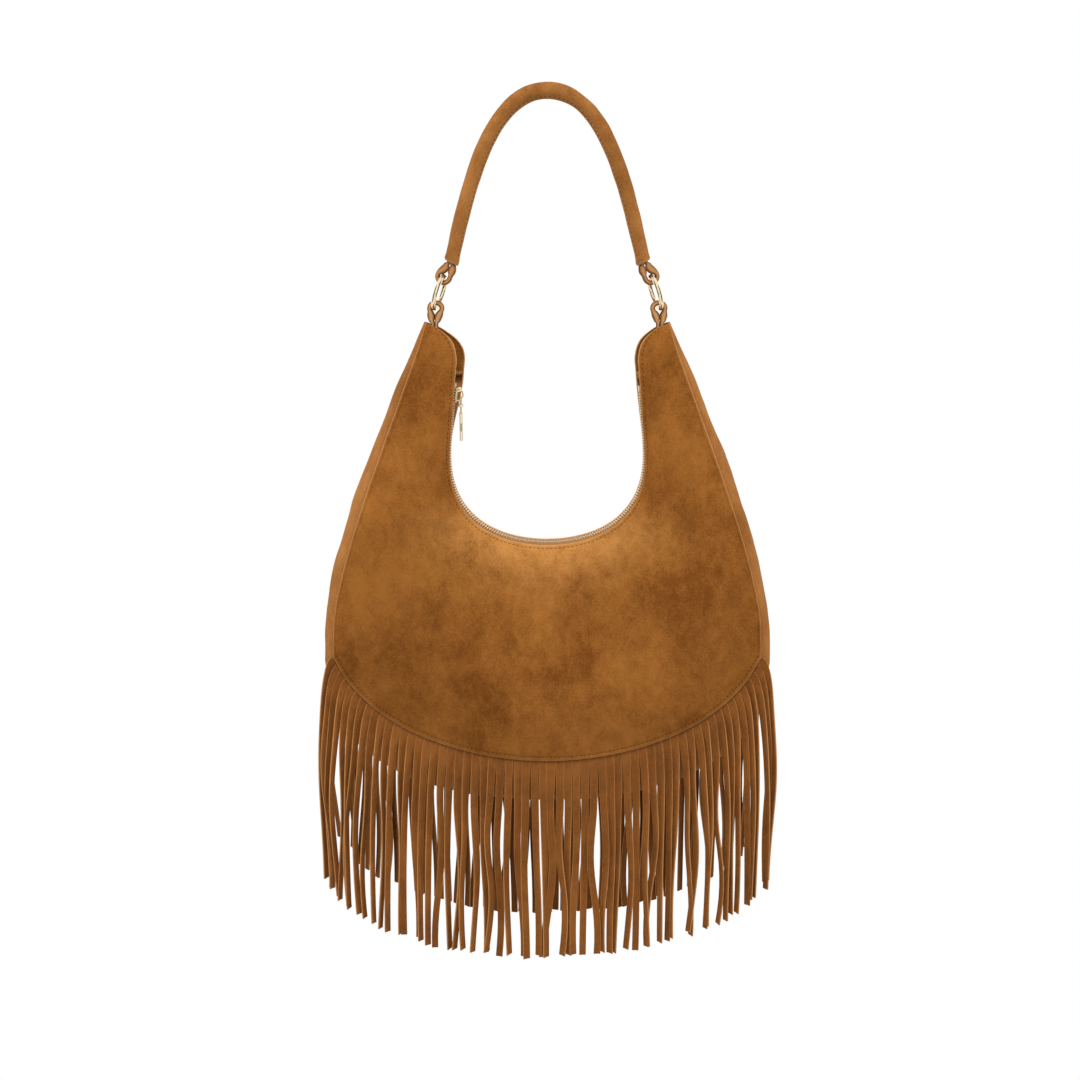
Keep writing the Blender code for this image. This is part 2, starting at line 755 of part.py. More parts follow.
TOP_FACE = CHAIN_SINK - CHAIN_THICKNESS / 2 - GAP
UNDER_FACE = CHAIN_SINK + CHAIN_THICKNESS / 2 + GAP
SLIDER_MIDDLE = SLIDER_REST + SLIDER_LENGTH / 2
LINK_OUT = TOP_FACE - SLIDER_PLATE - BRIDGE_HEIGHT + BRIDGE_BAR + LINK_WIRE / 2 + GAP
LINK_TOP = on_leg(SLIDER_MIDDLE + 0.0012, LINK_OUT, 0.0)
LINK_BOTTOM = LINK_TOP - Vector((0, 0, LINK_LENGTH - LINK_WIRE))


def box(name, low, high, finish, place=on_leg):
    """A rectangular block between two corners of a local frame."""
    bm = bmesh.new()
    bmesh.ops.create_cube(bm, size=1.0)
    for vert in bm.verts:
        share = vert.co + Vector((0.5, 0.5, 0.5))
        spot = [low[i] + (high[i] - low[i]) * share[i] for i in range(3)]
        vert.co = place(*spot)
    return add(name, bm, finish)


def make_slider():
    """The zip slider: two plates round the chain, a middle post, side lips and a bridge."""
    a0 = SLIDER_REST
    a1 = SLIDER_REST + SLIDER_LENGTH
    half = SLIDER_WIDTH / 2
    nose = 0.6 * half
    tail = 0.84 * half
    shoulder = a0 + 0.3 * SLIDER_LENGTH
    shield = [(a0, -nose), (shoulder, -half), (a1, -tail), (a1, tail), (shoulder, half), (a0, nose)]

    def sheet(name, middle, thickness):
        def place(p, q, depth):
            return on_leg(p, middle + depth, q)
        return plate(name, [shield], place, thickness, PALE_GOLD)

    body = sheet("zip_slider", TOP_FACE - SLIDER_PLATE / 2, SLIDER_PLATE)
    under = sheet("slider_under_plate", UNDER_FACE + SLIDER_PLATE / 2, SLIDER_PLATE)
    inside = BITE
    post_half = CHAIN_HALF_GAP - GAP
    post = box(
        "slider_post",
        (a0 + 0.12 * SLIDER_LENGTH, TOP_FACE - inside, -post_half),
        (a0 + 0.42 * SLIDER_LENGTH, UNDER_FACE + inside, post_half),
        PALE_GOLD,
    )
    foot = SLIDER_PLATE
    bridge_low = TOP_FACE - inside
    bridge_top = TOP_FACE - SLIDER_PLATE - BRIDGE_HEIGHT
    b0 = a0 + 0.08 * SLIDER_LENGTH
    b1 = a1 - 0.10 * SLIDER_LENGTH
    bevel = 0.35 * BRIDGE_HEIGHT
    arch = [
        (b0, bridge_low), (b0, bridge_top + bevel), (b0 + bevel, bridge_top), (b1 - bevel, bridge_top),
        (b1, bridge_top + bevel), (b1, bridge_low), (b1 - foot, bridge_low),
        (b1 - foot, bridge_top + bevel), (b1 - bevel - 0.4 * BRIDGE_BAR, bridge_top + BRIDGE_BAR),
        (b0 + bevel + 0.4 * BRIDGE_BAR, bridge_top + BRIDGE_BAR), (b0 + foot, bridge_top + bevel),
        (b0 + foot, bridge_low),
    ]

    def place_bridge(p, q, depth):
        return on_leg(p, q, depth)

    bridge = plate("slider_bridge", [arch], place_bridge, BRIDGE_WIDTH, PALE_GOLD)
    return unite(body, under, post, bridge)


def make_link():
    """The wire frame that hangs in the slider's bridge and carries the pull."""
    half = LINK_WIDTH / 2
    thick = LINK_WIRE
    top = thick / 2
    outline = [(-half, top), (half, top), (half, top - LINK_LENGTH), (-half, top - LINK_LENGTH)]
    inner = half - thick
    window = [(-inner, -thick / 2), (inner, -thick / 2)]
    window += [(inner, 1.5 * thick - LINK_LENGTH), (-inner, 1.5 * thick - LINK_LENGTH)]

    def place(p, q, depth):
        return LINK_TOP + Vector((depth, p, q))

    link = plate("pull_link", [outline, window], place, thick, PALE_GOLD)
    return set_origin(link, LINK_TOP)


def make_pull():
    """The drop pull: an eye on the link, a thin stem, a collar and a flat bar."""
    eye_bore = LINK_WIRE / 2 * math.sqrt(2) + GAP
    eye_radius = eye_bore + PULL_EYE_WALL
    sides = 12
    angles = [2 * math.pi * i / sides for i in range(sides)]
    rim = [(eye_radius * math.cos(a), eye_radius * math.sin(a)) for a in angles]
    bore_corner = eye_bore / math.cos(math.pi / sides)
    bore = [(bore_corner * math.cos(a), bore_corner * math.sin(a)) for a in angles]

    def place_eye(p, q, depth):
        return LINK_BOTTOM + Vector((p, depth, q))

    def place_box(p, q, r):
        return LINK_BOTTOM + Vector((p, q, r))

    eye_width = LINK_WIDTH - 2 * LINK_WIRE - 2 * GAP
    eye = plate("pull_bar", [rim, bore], place_eye, 0.8 * eye_width, PALE_GOLD)
    stem_low = -eye_radius - PULL_STEM
    half = PULL_STEM_WIDTH / 2
    stem = box(
        "pull_stem",
        (-half, -half, stem_low - BITE),
        (half, half, -eye_radius + BITE),
        PALE_GOLD,
        place_box,
    )
    collar_half = PULL_BAR_WIDTH / 2 + PULL_LIP
    thick_half = PULL_BAR_THICKNESS / 2
    collar_low = stem_low - PULL_COLLAR
    collar = box(
        "pull_collar",
        (-thick_half - PULL_LIP, -collar_half, collar_low),
        (thick_half + PULL_LIP, collar_half, stem_low),
        PALE_GOLD,
        place_box,
    )
    bar = box(
        "pull_blade",
        (-thick_half, -PULL_BAR_WIDTH / 2, collar_low - PULL_BAR_LENGTH),
        (thick_half, PULL_BAR_WIDTH / 2, collar_low + BITE),
        PALE_GOLD,
        place_box,
    )
    unite(eye, stem, collar, bar)
    return set_origin(eye, LINK_BOTTOM)


def make_stops():
    """The two stops above the slider and the one that closes the zip's far end."""
    low = CHAIN_SINK - CHAIN_THICKNESS / 2
    high = CHAIN_SINK + CHAIN_THICKNESS / 2
    a1 = SLIDER_REST - GAP
    a0 = a1 - STOP_LENGTH
    for name, face in (("zip_top_stop_front", -1), ("zip_top_stop_back", 1)):
        near = sorted((face * CHAIN_HALF_GAP, face * CHAIN_HALF_WIDTH))
        box(name, (a0, low, near[0]), (a1, high, near[1]), ZIP_METAL)

    def far_side(a, out, y):
        spot = on_leg(a, out, y)
        return Vector((-spot.x, spot.y, spot.z))

    box(
        "zip_end_stop",
        (END_STOP_FOOT - END_STOP_LENGTH, low, -CHAIN_HALF_WIDTH),
        (END_STOP_FOOT, high, CHAIN_HALF_WIDTH),
        ZIP_METAL,
        far_side,
    )


def build():
    make_panel("front_panel", -1)
    make_panel("back_panel", 1)
    make_gusset()
    make_fringe("front_fringe", -1)
    make_fringe("back_fringe", 1)
    make_tape("zip_tape_front", -1)
    make_tape("zip_tape_back", 1)
    make_teeth("zip_teeth_front", -1)
    make_teeth("zip_teeth_back", 1)
    make_stops()
    make_slider()
    make_link()
    make_pull()
    make_handle()
    down = flat(math.sin(HANDLE_END_LEAN), -math.cos(HANDLE_END_LEAN))
    for label, side in (("left", -1), ("right", 1)):
        make_ring("ring_" + label, side)
        loop = ("handle_loop_" + label, WIRE_TOP, -LOOP_AXIS, -down, HANDLE_TAIL)
        make_loop(*loop, side, HANDLE_TAIL_WIDTH, HANDLE_NECK, SUEDE_HANDLE)
        tab = ("bag_tab_" + label, WIRE_BOTTOM, flat(0, -1), flat(0, -1), TAB_TAIL)
        make_loop(*tab, side, STRAP_WIDTH, TAB_NECK, SUEDE_TAN)


build()
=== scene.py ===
"""Looks of the fringed suede bag: dressed suede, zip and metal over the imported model."""

import math

import bmesh
import bpy
import numpy as np
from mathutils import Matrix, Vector


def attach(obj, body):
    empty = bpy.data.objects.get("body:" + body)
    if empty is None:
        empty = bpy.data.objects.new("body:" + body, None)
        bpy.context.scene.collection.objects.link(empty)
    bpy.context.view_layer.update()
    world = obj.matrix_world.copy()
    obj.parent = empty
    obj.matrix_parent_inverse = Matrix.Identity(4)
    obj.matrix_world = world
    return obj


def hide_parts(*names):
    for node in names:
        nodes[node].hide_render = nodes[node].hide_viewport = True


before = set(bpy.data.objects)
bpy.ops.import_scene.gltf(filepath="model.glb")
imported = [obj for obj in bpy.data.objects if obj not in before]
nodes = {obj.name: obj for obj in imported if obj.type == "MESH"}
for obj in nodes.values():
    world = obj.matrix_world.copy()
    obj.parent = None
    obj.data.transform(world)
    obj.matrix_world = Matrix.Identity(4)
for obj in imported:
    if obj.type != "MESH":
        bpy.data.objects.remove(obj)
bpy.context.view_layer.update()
bpy.ops.object.select_all(action="DESELECT")

# Sizes that the part's source also has, in metres
GAP = 0.0003
SUEDE = 0.0018
GUSSET_THICKNESS = 0.0016
FRINGE_THICKNESS = 0.0012
TAPE_THICKNESS = 0.0007
HANDLE_HALF_SPAN = 0.0784
HANDLE_DROP = 0.1273
HANDLE_RADIUS = 0.0062
HANDLE_CROWN_RADIUS = 0.0063
HANDLE_END_LEAN = math.radians(13.0)
HANDLE_CROWN_PULL = 0.563
HANDLE_LEG_PULL = 0.517
LOOP_REACH = 0.0122
LOOP_LEAN = math.radians(29.5)
STRAP_THICKNESS = 0.0030
STRAP_WIDTH = 0.0080
LOOP_NECK = 0.0096
HANDLE_TAIL = 0.0110
HANDLE_TAIL_WIDTH = 0.0052
TAB_TAIL = 0.0165
RING_BORE = 0.0235
RING_WIRE = 0.0038
RING_LEAN = math.radians(17.9)
RING_TURN = math.radians(8.0)
TIP_OUTSET = 0.0066
TAB_REACH = 0.0114
TIP_LEDGE = 0.0022
OPENING_HALF_WIDTH = 0.0812
OPENING_DROP = 0.1856
LEG_START_DROP = 0.0337
LEG_LENGTH = 0.0693
LEG_LEAN = math.radians(5.54)
CORNER_HALF_WIDTH = 0.1810
CORNER_DROP = 0.2767
FRONT_DROP = 0.3705
GUSSET_SIDE_BULGE = 0.0133
GUSSET_TOP_BULGE = 0.0014
BELLY_DROP = 0.0512
BODY_HALF_DEPTH = 0.0400
OPENING_HALF_DEPTH = 0.0120
SEAM_LAP = 0.0060
PANEL_FULLNESS = 0.5
CHAIN_HALF_WIDTH = 0.0030
CHAIN_THICKNESS = 0.0026
CHAIN_SINK = 0.0009
TAPE_LAP = 0.0080
SLIDER_REST = 0.0195
STOP_LENGTH = 0.0030
END_STOP_FOOT = 0.0231
SLIDER_LENGTH = 0.0125
SLIDER_WIDTH = 0.0096
SLIDER_PLATE = 0.0012
BRIDGE_HEIGHT = 0.0054
BRIDGE_BAR = 0.0013
BRIDGE_WIDTH = 0.0026
LINK_WIRE = 0.0014
LINK_LENGTH = 0.0088
LINK_WIDTH = 0.0076
PULL_STEM = 0.0034
PULL_COLLAR = 0.0012
PULL_BAR_LENGTH = 0.0229
PULL_BAR_WIDTH = 0.0055
PULL_BAR_THICKNESS = 0.0024
FRINGE_STRIPS = 60
FRINGE_LENGTH = 0.1865
FRINGE_SIDE_EXTRA = 0.0160
FRINGE_TUCK = 0.0040
FRINGE_ROOT = 0.0010
FRINGE_DRIFT = 0.0180
FRINGE_LEAVE = 0.0150
BOTTOM_STATIONS = 9
SIDE_STATIONS = 7
HORN_STATIONS = 4

# Fineness and soft sizes of the dressed pieces
LINE_SAMPLES = 120
STATION_STEPS = 8
HANDLE_MIDDLE = (0.0003, 0.0002, 0.0050)
TAB_MIDDLE = (0.0010, 0.0003, 0.0051)
LOOP_HALF_THICKNESS = 0.0020
SOFT_HANDLE_NECK = 0.0054
SOFT_TAB_NECK = 0.0050
STRAP_DUSK = 0.70
TAB_CROWN = 0.86
LOOP_FLARE = 0.0004
LOOP_SIDES = 20
LOOP_FAT = 0.0010
LOOP_SHOULDER = 0.0020
STITCH_PITCH = 0.0036
STITCH_LENGTH = 0.0024
STITCH_RADIUS = 0.00036
STITCH_INSET = 0.0040
THREAD_SIDES = 6
HANDLE_STITCH_RADIUS = 0.00026
HANDLE_STITCH_LENGTH = 0.0026
FRINGE_SLOT = 0.0003
LOOP_TRIM = 0.00004


def xz(x, z):
    return np.array((x, z), float)


def unit(v):
    return v / np.linalg.norm(v)


def smoothstep(x):
    x = np.clip(x, 0.0, 1.0)
    return x * x * (3 - 2 * x)


def bezier(points, t):
    """Points of a cubic Bezier curve at an array of shares."""
    a, b, c, d = (np.asarray(p, float)[..., None, :] for p in points)
    t = np.asarray(t, float)[:, None]
    r = 1.0 - t
    return a * r ** 3 + b * (3 * r * r * t) + c * (3 * r * t * t) + d * t ** 3


def sample(curves, count=LINE_SAMPLES):
    """Points along Bezier curves that follow each other."""
    shares = np.linspace(0.0, 1.0, count + 1)
    parts = [bezier(curve, shares) for curve in curves]
    return np.concatenate([parts[0]] + [part[1:] for part in parts[1:]])


def run_lengths(line):
    """How far along a line each of its points lies."""
    steps = np.linalg.norm(np.diff(line, axis=0), axis=1)
    return np.concatenate([[0.0], np.cumsum(steps)])


def walk(line, lengths):
    """Points at given lengths along a line."""
    runs = run_lengths(line)
    return np.stack([np.interp(lengths, runs, line[:, i]) for i in range(line.shape[1])], axis=-1)


def directions(line):
    """Unit directions of a line at its points."""
    run = np.gradient(line, axis=0)
    return run / np.linalg.norm(run, axis=1)[:, None]


def nearest(line, point):
    a, b = line[:-1], line[1:]
    run = b - a
    share = np.clip(((point - a) * run).sum(1) / (run ** 2).sum(1), 0.0, 1.0)
    foot = a + run * share[:, None]
    return foot[np.linalg.norm(foot - point, axis=1).argmin()]


def crossing(line, start, direction):
    """How far along a ray it first meets a line."""
    run = np.diff(line, axis=0)
    gap = line[:-1] - start
    turn = direction[0] * run[:, 1] - direction[1] * run[:, 0]
    turn[np.abs(turn) < 1e-12] = 1e-12
    reach = (gap[:, 0] * run[:, 1] - gap[:, 1] * run[:, 0]) / turn
    share = (gap[:, 0] * direction[1] - gap[:, 1] * direction[0]) / turn
    return reach[(reach > 0) & (share >= -0.001) & (share <= 1.001)].min()


# Hanging chain and outlines of the right half, as in the part's source
RING_MEAN_RADIUS = (RING_BORE + RING_WIRE) / 2
LEAN_AXIS = xz(math.sin(RING_LEAN), -math.cos(RING_LEAN))
HANDLE_END = xz(HANDLE_HALF_SPAN, -HANDLE_DROP)
LOOP_AXIS = xz(math.sin(LOOP_LEAN), -math.cos(LOOP_LEAN))
WIRE_TOP = HANDLE_END + LOOP_AXIS * LOOP_REACH
RING_CENTRE = WIRE_TOP + LEAN_AXIS * RING_MEAN_RADIUS
WIRE_BOTTOM = RING_CENTRE + LEAN_AXIS * RING_MEAN_RADIUS
TIP = WIRE_BOTTOM + xz(TIP_OUTSET, -TAB_REACH)
TIP_HALF_DEPTH = STRAP_WIDTH / 2 + GAP + SUEDE
LEG_DOWN = xz(math.sin(LEG_LEAN), -math.cos(LEG_LEAN))
LEG_OUT = xz(math.cos(LEG_LEAN), math.sin(LEG_LEAN))
LEG_END = xz(OPENING_HALF_WIDTH, TIP[1] - LEG_START_DROP - LEG_LENGTH * math.cos(LEG_LEAN))
LEG_TOP = LEG_END - LEG_DOWN * LEG_LENGTH
OPENING_FLOOR = TIP[1] - OPENING_DROP
CORNER = xz(CORNER_HALF_WIDTH, TIP[1] - CORNER_DROP)
FRONT_FLOOR = TIP[1] - FRONT_DROP
OUTER_SIDE = xz(CORNER[0] + GUSSET_SIDE_BULGE, CORNER[1] - 0.35 * BELLY_DROP)
OUTER_FLOOR = FRONT_FLOOR - BELLY_DROP
OUTER_TOP = TIP + xz(GUSSET_TOP_BULGE, GUSSET_TOP_BULGE)

HORN_LINE = (
    TIP,
    TIP + xz(-0.92, -0.38) * 0.36 * LEG_START_DROP,
    LEG_TOP - LEG_DOWN * 0.71 * LEG_START_DROP,
    LEG_TOP,
)
LEG_LINE = (
    LEG_TOP,
    LEG_TOP + (LEG_END - LEG_TOP) / 3,
    LEG_TOP + (LEG_END - LEG_TOP) * 2 / 3,
    LEG_END,
)
OPENING_CURVE = (
    LEG_END,
    LEG_END + LEG_DOWN * 0.85 * (LEG_END[1] - OPENING_FLOOR),
    xz(0.39 * OPENING_HALF_WIDTH, OPENING_FLOOR),
    xz(0.0, OPENING_FLOOR),
)
SIDE_SEAM = (
    TIP,
    TIP + xz(0.300, -0.945) * 0.273 * CORNER_DROP,
    CORNER + xz(0.020, 0.239) * CORNER_DROP,
    CORNER,
)
LOWER_SEAM = (
    CORNER,
    CORNER + xz(-0.39, -0.92) * 0.428 * CORNER[0],
    xz(0.326 * CORNER[0], FRONT_FLOOR),
    xz(0.0, FRONT_FLOOR),
)
OUTER_SIDE_LINE = (
    OUTER_TOP,
    OUTER_TOP + xz(0.411, -0.912) * 0.289 * CORNER_DROP,
    OUTER_SIDE + xz(0.0, 0.385 * CORNER_DROP),
    OUTER_SIDE,
)
OUTER_LOWER_LINE = (
    OUTER_SIDE,
    OUTER_SIDE + xz(0.0, 0.866 * (OUTER_FLOOR - OUTER_SIDE[1])),
    xz(0.364 * OUTER_SIDE[0], OUTER_FLOOR),
    xz(0.0, OUTER_FLOOR),
)
INNER = sample([HORN_LINE, LEG_LINE, OPENING_CURVE])
ZIP_LINE = sample([LEG_LINE, OPENING_CURVE])
SEAM_SIDE = sample([SIDE_SEAM])
SEAM_LOWER = sample([LOWER_SEAM])
OUTER = sample([OUTER_SIDE_LINE, OUTER_LOWER_LINE])


def side_depth(z):
    """Half the bag's depth at the seam, growing from the horn tip to the corner."""
    share = min(1.0, max(0.0, (TIP[1] - z) / CORNER_DROP))
    return TIP_HALF_DEPTH + (BODY_HALF_DEPTH - TIP_HALF_DEPTH) * share ** 0.6


def coarse_stations():
    """The source's stations of the right half, from the bottom's middle to the horn tip.

    Each row holds the opening's point, the seam's point, both depths, the edge's sink and the
    gusset's bulge.
    """
    rows = []

    def put(inner, seam, opening_depth, seam_depth, sink):
        bulge = crossing(OUTER, seam, unit(seam - inner))
        rows.append([*inner, *seam, opening_depth, seam_depth, sink, bulge])

    side_sink = SUEDE + GAP
    lower_sink = side_sink + FRINGE_THICKNESS + GAP
    lower_run = run_lengths(SEAM_LOWER)[-1]
    side_run = run_lengths(SEAM_SIDE)[-1]
    for i in range(BOTTOM_STATIONS + 1):
        seam = walk(SEAM_LOWER, lower_run * (1.0 - i / BOTTOM_STATIONS))
        put(nearest(ZIP_LINE, seam), seam, OPENING_HALF_DEPTH, BODY_HALF_DEPTH, lower_sink)
    fan_share = 1.0 - (LEG_START_DROP + 0.06 * LEG_LENGTH) / CORNER_DROP
    for i in range(1, SIDE_STATIONS + 1):
        seam = walk(SEAM_SIDE, side_run * (1.0 - fan_share * i / SIDE_STATIONS))
        inner = nearest(ZIP_LINE, seam)
        put(inner, seam, OPENING_HALF_DEPTH, side_depth(seam[1]), side_sink)
    fan_inner = xz(*rows[-1][:2])
    horn = np.concatenate([INNER[INNER[:, 1] > fan_inner[1]], [fan_inner]])
    ledge = nearest(horn, TIP + xz(-TIP_LEDGE, -TIP_LEDGE))
    for i in range(1, HORN_STATIONS + 1):
        share = i / HORN_STATIONS
        seam = walk(SEAM_SIDE, side_run * (1.0 - fan_share) * (1.0 - share))
        inner = walk(horn, run_lengths(horn)[-1] * (1.0 - share)) if i < HORN_STATIONS else ledge
        depth = TIP_HALF_DEPTH + (OPENING_HALF_DEPTH - TIP_HALF_DEPTH) * (1.0 - share) ** 0.7
        put(inner, seam, depth, max(depth, side_depth(seam[1])), side_sink)
    return np.array(rows)


def smooth_rows(rows, steps):
    """Rows joined by a Catmull-Rom spline, with steps new rows in each span."""
    ends = [2 * rows[0] - rows[1], *rows, 2 * rows[-1] - rows[-2]]
    p = np.array(ends)
    out = []
    for i in range(1, len(p) - 2):
        a, b, c, d = p[i - 1:i + 3]
        for k in range(steps):
            t = k / steps
            out.append(0.5 * (
                2 * b + (c - a) * t + (2 * a - 5 * b + 4 * c - d) * t * t
                + (3 * b - a - 3 * c + d) * t ** 3
            ))
    out.append(rows[-1])
    return np.array(out)


def full_stations():
    """Fine stations from the left horn tip round the bottom to the right horn tip."""
    coarse = coarse_stations()
    mirror = np.array([-1, 1, -1, 1, 1, 1, 1, 1])
    bottom = np.concatenate([(coarse * mirror)[BOTTOM_STATIONS:0:-1], coarse[:BOTTOM_STATIONS + 1]])
    bottom = smooth_rows(bottom, STATION_STEPS)
    side = smooth_rows(coarse[BOTTOM_STATIONS:], STATION_STEPS)[1:]
    return np.concatenate([(side * mirror)[::-1], bottom, side]), len(side)


STATIONS, SIDE_COUNT = full_stations()
INNER_POINTS = STATIONS[:, 0:2]
SEAM_POINTS = STATIONS[:, 2:4]
OPENING_DEPTH, SEAM_DEPTH, EDGE_SINK, BULGE = STATIONS[:, 4:8].T
SPANS = SEAM_POINTS - INNER_POINTS
LENGTHS = np.linalg.norm(SPANS, axis=1)
ALONG = SPANS / LENGTHS[:, None]
HORN_ROWS = HORN_STATIONS * STATION_STEPS
ZIP_ROWS = slice(HORN_ROWS, len(STATIONS) - HORN_ROWS)


def profile_lines():
    """Each station's panel profile as a fine line of reach and depth."""
    rise = SEAM_DEPTH - OPENING_DEPTH
    zero = np.zeros_like(rise)
    a = np.stack([zero, OPENING_DEPTH], -1)
    b = np.stack([0.08 * LENGTHS, OPENING_DEPTH + 0.85 * rise], -1)
    c = np.stack([0.60 * LENGTHS, SEAM_DEPTH + PANEL_FULLNESS * rise], -1)
    d = np.stack([LENGTHS, SEAM_DEPTH], -1)
    shares = np.linspace(0.0, 1.0, 161) ** 1.5
    return bezier((a, b, c, d), shares)


PROFILES = profile_lines()


def profile_at(index, lengths):
    """Reach, depth and the outward direction at lengths along one station's profile."""
    line = PROFILES[index]
    runs = run_lengths(line)
    spot = walk(line, lengths)
    before = walk(line, np.clip(lengths - 0.0006, 0.0, runs[-1]))
    after = walk(line, np.clip(lengths + 0.0006, 0.0, runs[-1]))
    run = after - before
    run /= np.linalg.norm(run, axis=1)[:, None]
    return spot, np.stack([-run[:, 1], run[:, 0]], -1)


def to_space(index, reach_depth, face):
    """Reach and depth of a station as points in space, for the front (-1) or back (1)."""
    flat = INNER_POINTS[index] + ALONG[index] * reach_depth[:, :1]
    return np.stack([flat[:, 0], face * reach_depth[:, 1], flat[:, 1]], -1)


def waves(points, seed, size, count=7):
    """A smooth field without repeats, about plus or minus one, over points in space."""
    rng = np.random.default_rng(seed)
    total = np.zeros(len(points))
    for _ in range(count):
        direction = rng.normal(size=3)
        direction *= 2 * math.pi / (size * rng.uniform(0.7, 1.6) * np.linalg.norm(direction))
        total += np.sin(points @ direction + rng.uniform(0, 2 * math.pi))
    return total / math.sqrt(count)


def ripples(grid, seed, sizes):
    """Two fields of waves over a grid of points, each with a length and a height."""
    points = grid.reshape(-1, 3)
    long, short = [waves(points, seed + k, length) * height for k, (length, height) in enumerate(sizes)]
    return (long + short).reshape(grid.shape[:2])


def both_sides(right):
    """A line that runs from the middle to the right, with its mirror image before it."""
    return np.concatenate([(right[1:] * (-1, 1))[::-1], right])


def add_object(name, data):
    made = bpy.data.objects.new(name, data)
    bpy.context.collection.objects.link(made)
    return made


def new_piece(name, verts, faces, material, body, replaced=(), slot_name=None, smooth=True, **painted):
    """A closed mesh piece that rides on a body and may stand for CAD nodes.

    What is painted is a number for each vertex, which materials read as an attribute.
    """
    mesh = bpy.data.meshes.new(name)
    mesh.from_pydata([tuple(v) for v in verts], [], [tuple(f) for f in faces])
    mesh.update()
    mesh.validate()
    if smooth:
        mesh.shade_smooth()
    mesh.materials.append(material)
    piece = add_object(name, mesh)
    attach(piece, body)
    if replaced:
        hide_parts(*([replaced] if isinstance(replaced, str) else replaced))
    for label, values in painted.items():
        layer = mesh.attributes.new(label, "FLOAT", "POINT")
        layer.data.foreach_set("value", np.asarray(values, np.float32).reshape(-1))
    turn_outwards(mesh)
    return piece


def turn_outwards(mesh):
    bm = bmesh.new()
    bm.from_mesh(mesh)
    bmesh.ops.remove_doubles(bm, verts=bm.verts, dist=1e-7)
    bm.normal_update()
    bmesh.ops.recalc_face_normals(bm, faces=bm.faces)
    bm.to_mesh(mesh)
    bm.free()


def grid_faces(rows, columns, wrap_columns=True, wrap_rows=False, start=0):
    """Quads over a grid of vertices that runs row by row."""
    faces = []
    for r in range(rows if wrap_rows else rows - 1):
        for c in range(columns if wrap_columns else columns - 1):
            d = (c + 1) % columns
            s = (r + 1) % rows
            faces.append((
                start + r * columns + c, start + r * columns + d,
                start + s * columns + d, start + s * columns + c,
            ))
    return faces


def tube_faces(rows, columns, start=0):
    """Quads round a tube, and a face over each of its ends."""
    last = start + (rows - 1) * columns
    ends = [tuple(base + k for k in range(columns)) for base in (start, last)]
    return grid_faces(rows, columns, start=start) + ends


def folded_faces(rows, columns):
    """Quads of a strip whose rings of vertices go there on one side and back on the other."""
    faces = grid_faces(rows, columns)
    for a in (0, (rows - 1) * columns):
        for c in range(columns // 2 - 1):
            faces.append((a + c, a + c + 1, a + columns - 2 - c, a + columns - 1 - c))
    return faces


# Materials
def new_material(name):
    made = bpy.data.materials.new(name)
    made.use_nodes = True
    tree = made.node_tree
    return made, tree, tree.nodes["Principled BSDF"]


def fill(node, values):
    """Set a node's inputs, by a link where the value is a socket."""
    for name, value in values.items():
        if isinstance(value, bpy.types.NodeSocket):
            node.id_data.links.new(value, node.inputs[name])
        else:
            node.inputs[name].default_value = value
    return node


def object_coords(tree):
    return tree.nodes.new("ShaderNodeTexCoord").outputs["Object"]


def noise_node(tree, vector, scale, detail, roughness=0.55):
    node = tree.nodes.new("ShaderNodeTexNoise")
    fill(node, {"Scale": scale, "Detail": detail, "Roughness": roughness, "Vector": vector})
    return node.outputs["Fac"]


def math_node(tree, operation, a, b):
    node = tree.nodes.new("ShaderNodeMath")
    node.operation = operation
    return fill(node, {0: a, 1: b}).outputs[0]


def map_range(tree, value, low, high, to_low=0.0, to_high=1.0):
    node = tree.nodes.new("ShaderNodeMapRange")
    fill(node, {"From Min": low, "From Max": high, "To Min": to_low, "To Max": to_high, "Value": value})
    return node.outputs["Result"]


def attribute(tree, name):
    node = tree.nodes.new("ShaderNodeAttribute")
    node.attribute_name = name
    return node.outputs["Fac"]


def ramp(tree, value, dark, light, low=0.0, high=1.0):
    """A value as a colour, dark up to low and light from high."""
    node = tree.nodes.new("ShaderNodeValToRGB")
    for element, place, color in zip(node.color_ramp.elements, (low, high), (dark, light)):
        element.position = place
        element.color = (*color, 1.0)
    return fill(node, {"Fac": value}).outputs["Color"]


def mix_colors(tree, share, color, other, blend="MIX"):
    node = tree.nodes.new("ShaderNodeMix")
    node.data_type = "RGBA"
    node.blend_type = blend
    return fill(node, {"Factor": share, "A": color, "B": (*other, 1.0)}).outputs["Result"]


def bump_normal(tree, height, strength, distance):
    node = tree.nodes.new("ShaderNodeBump")
    return fill(node, {"Strength": strength, "Distance": distance, "Height": height}).outputs["Normal"]


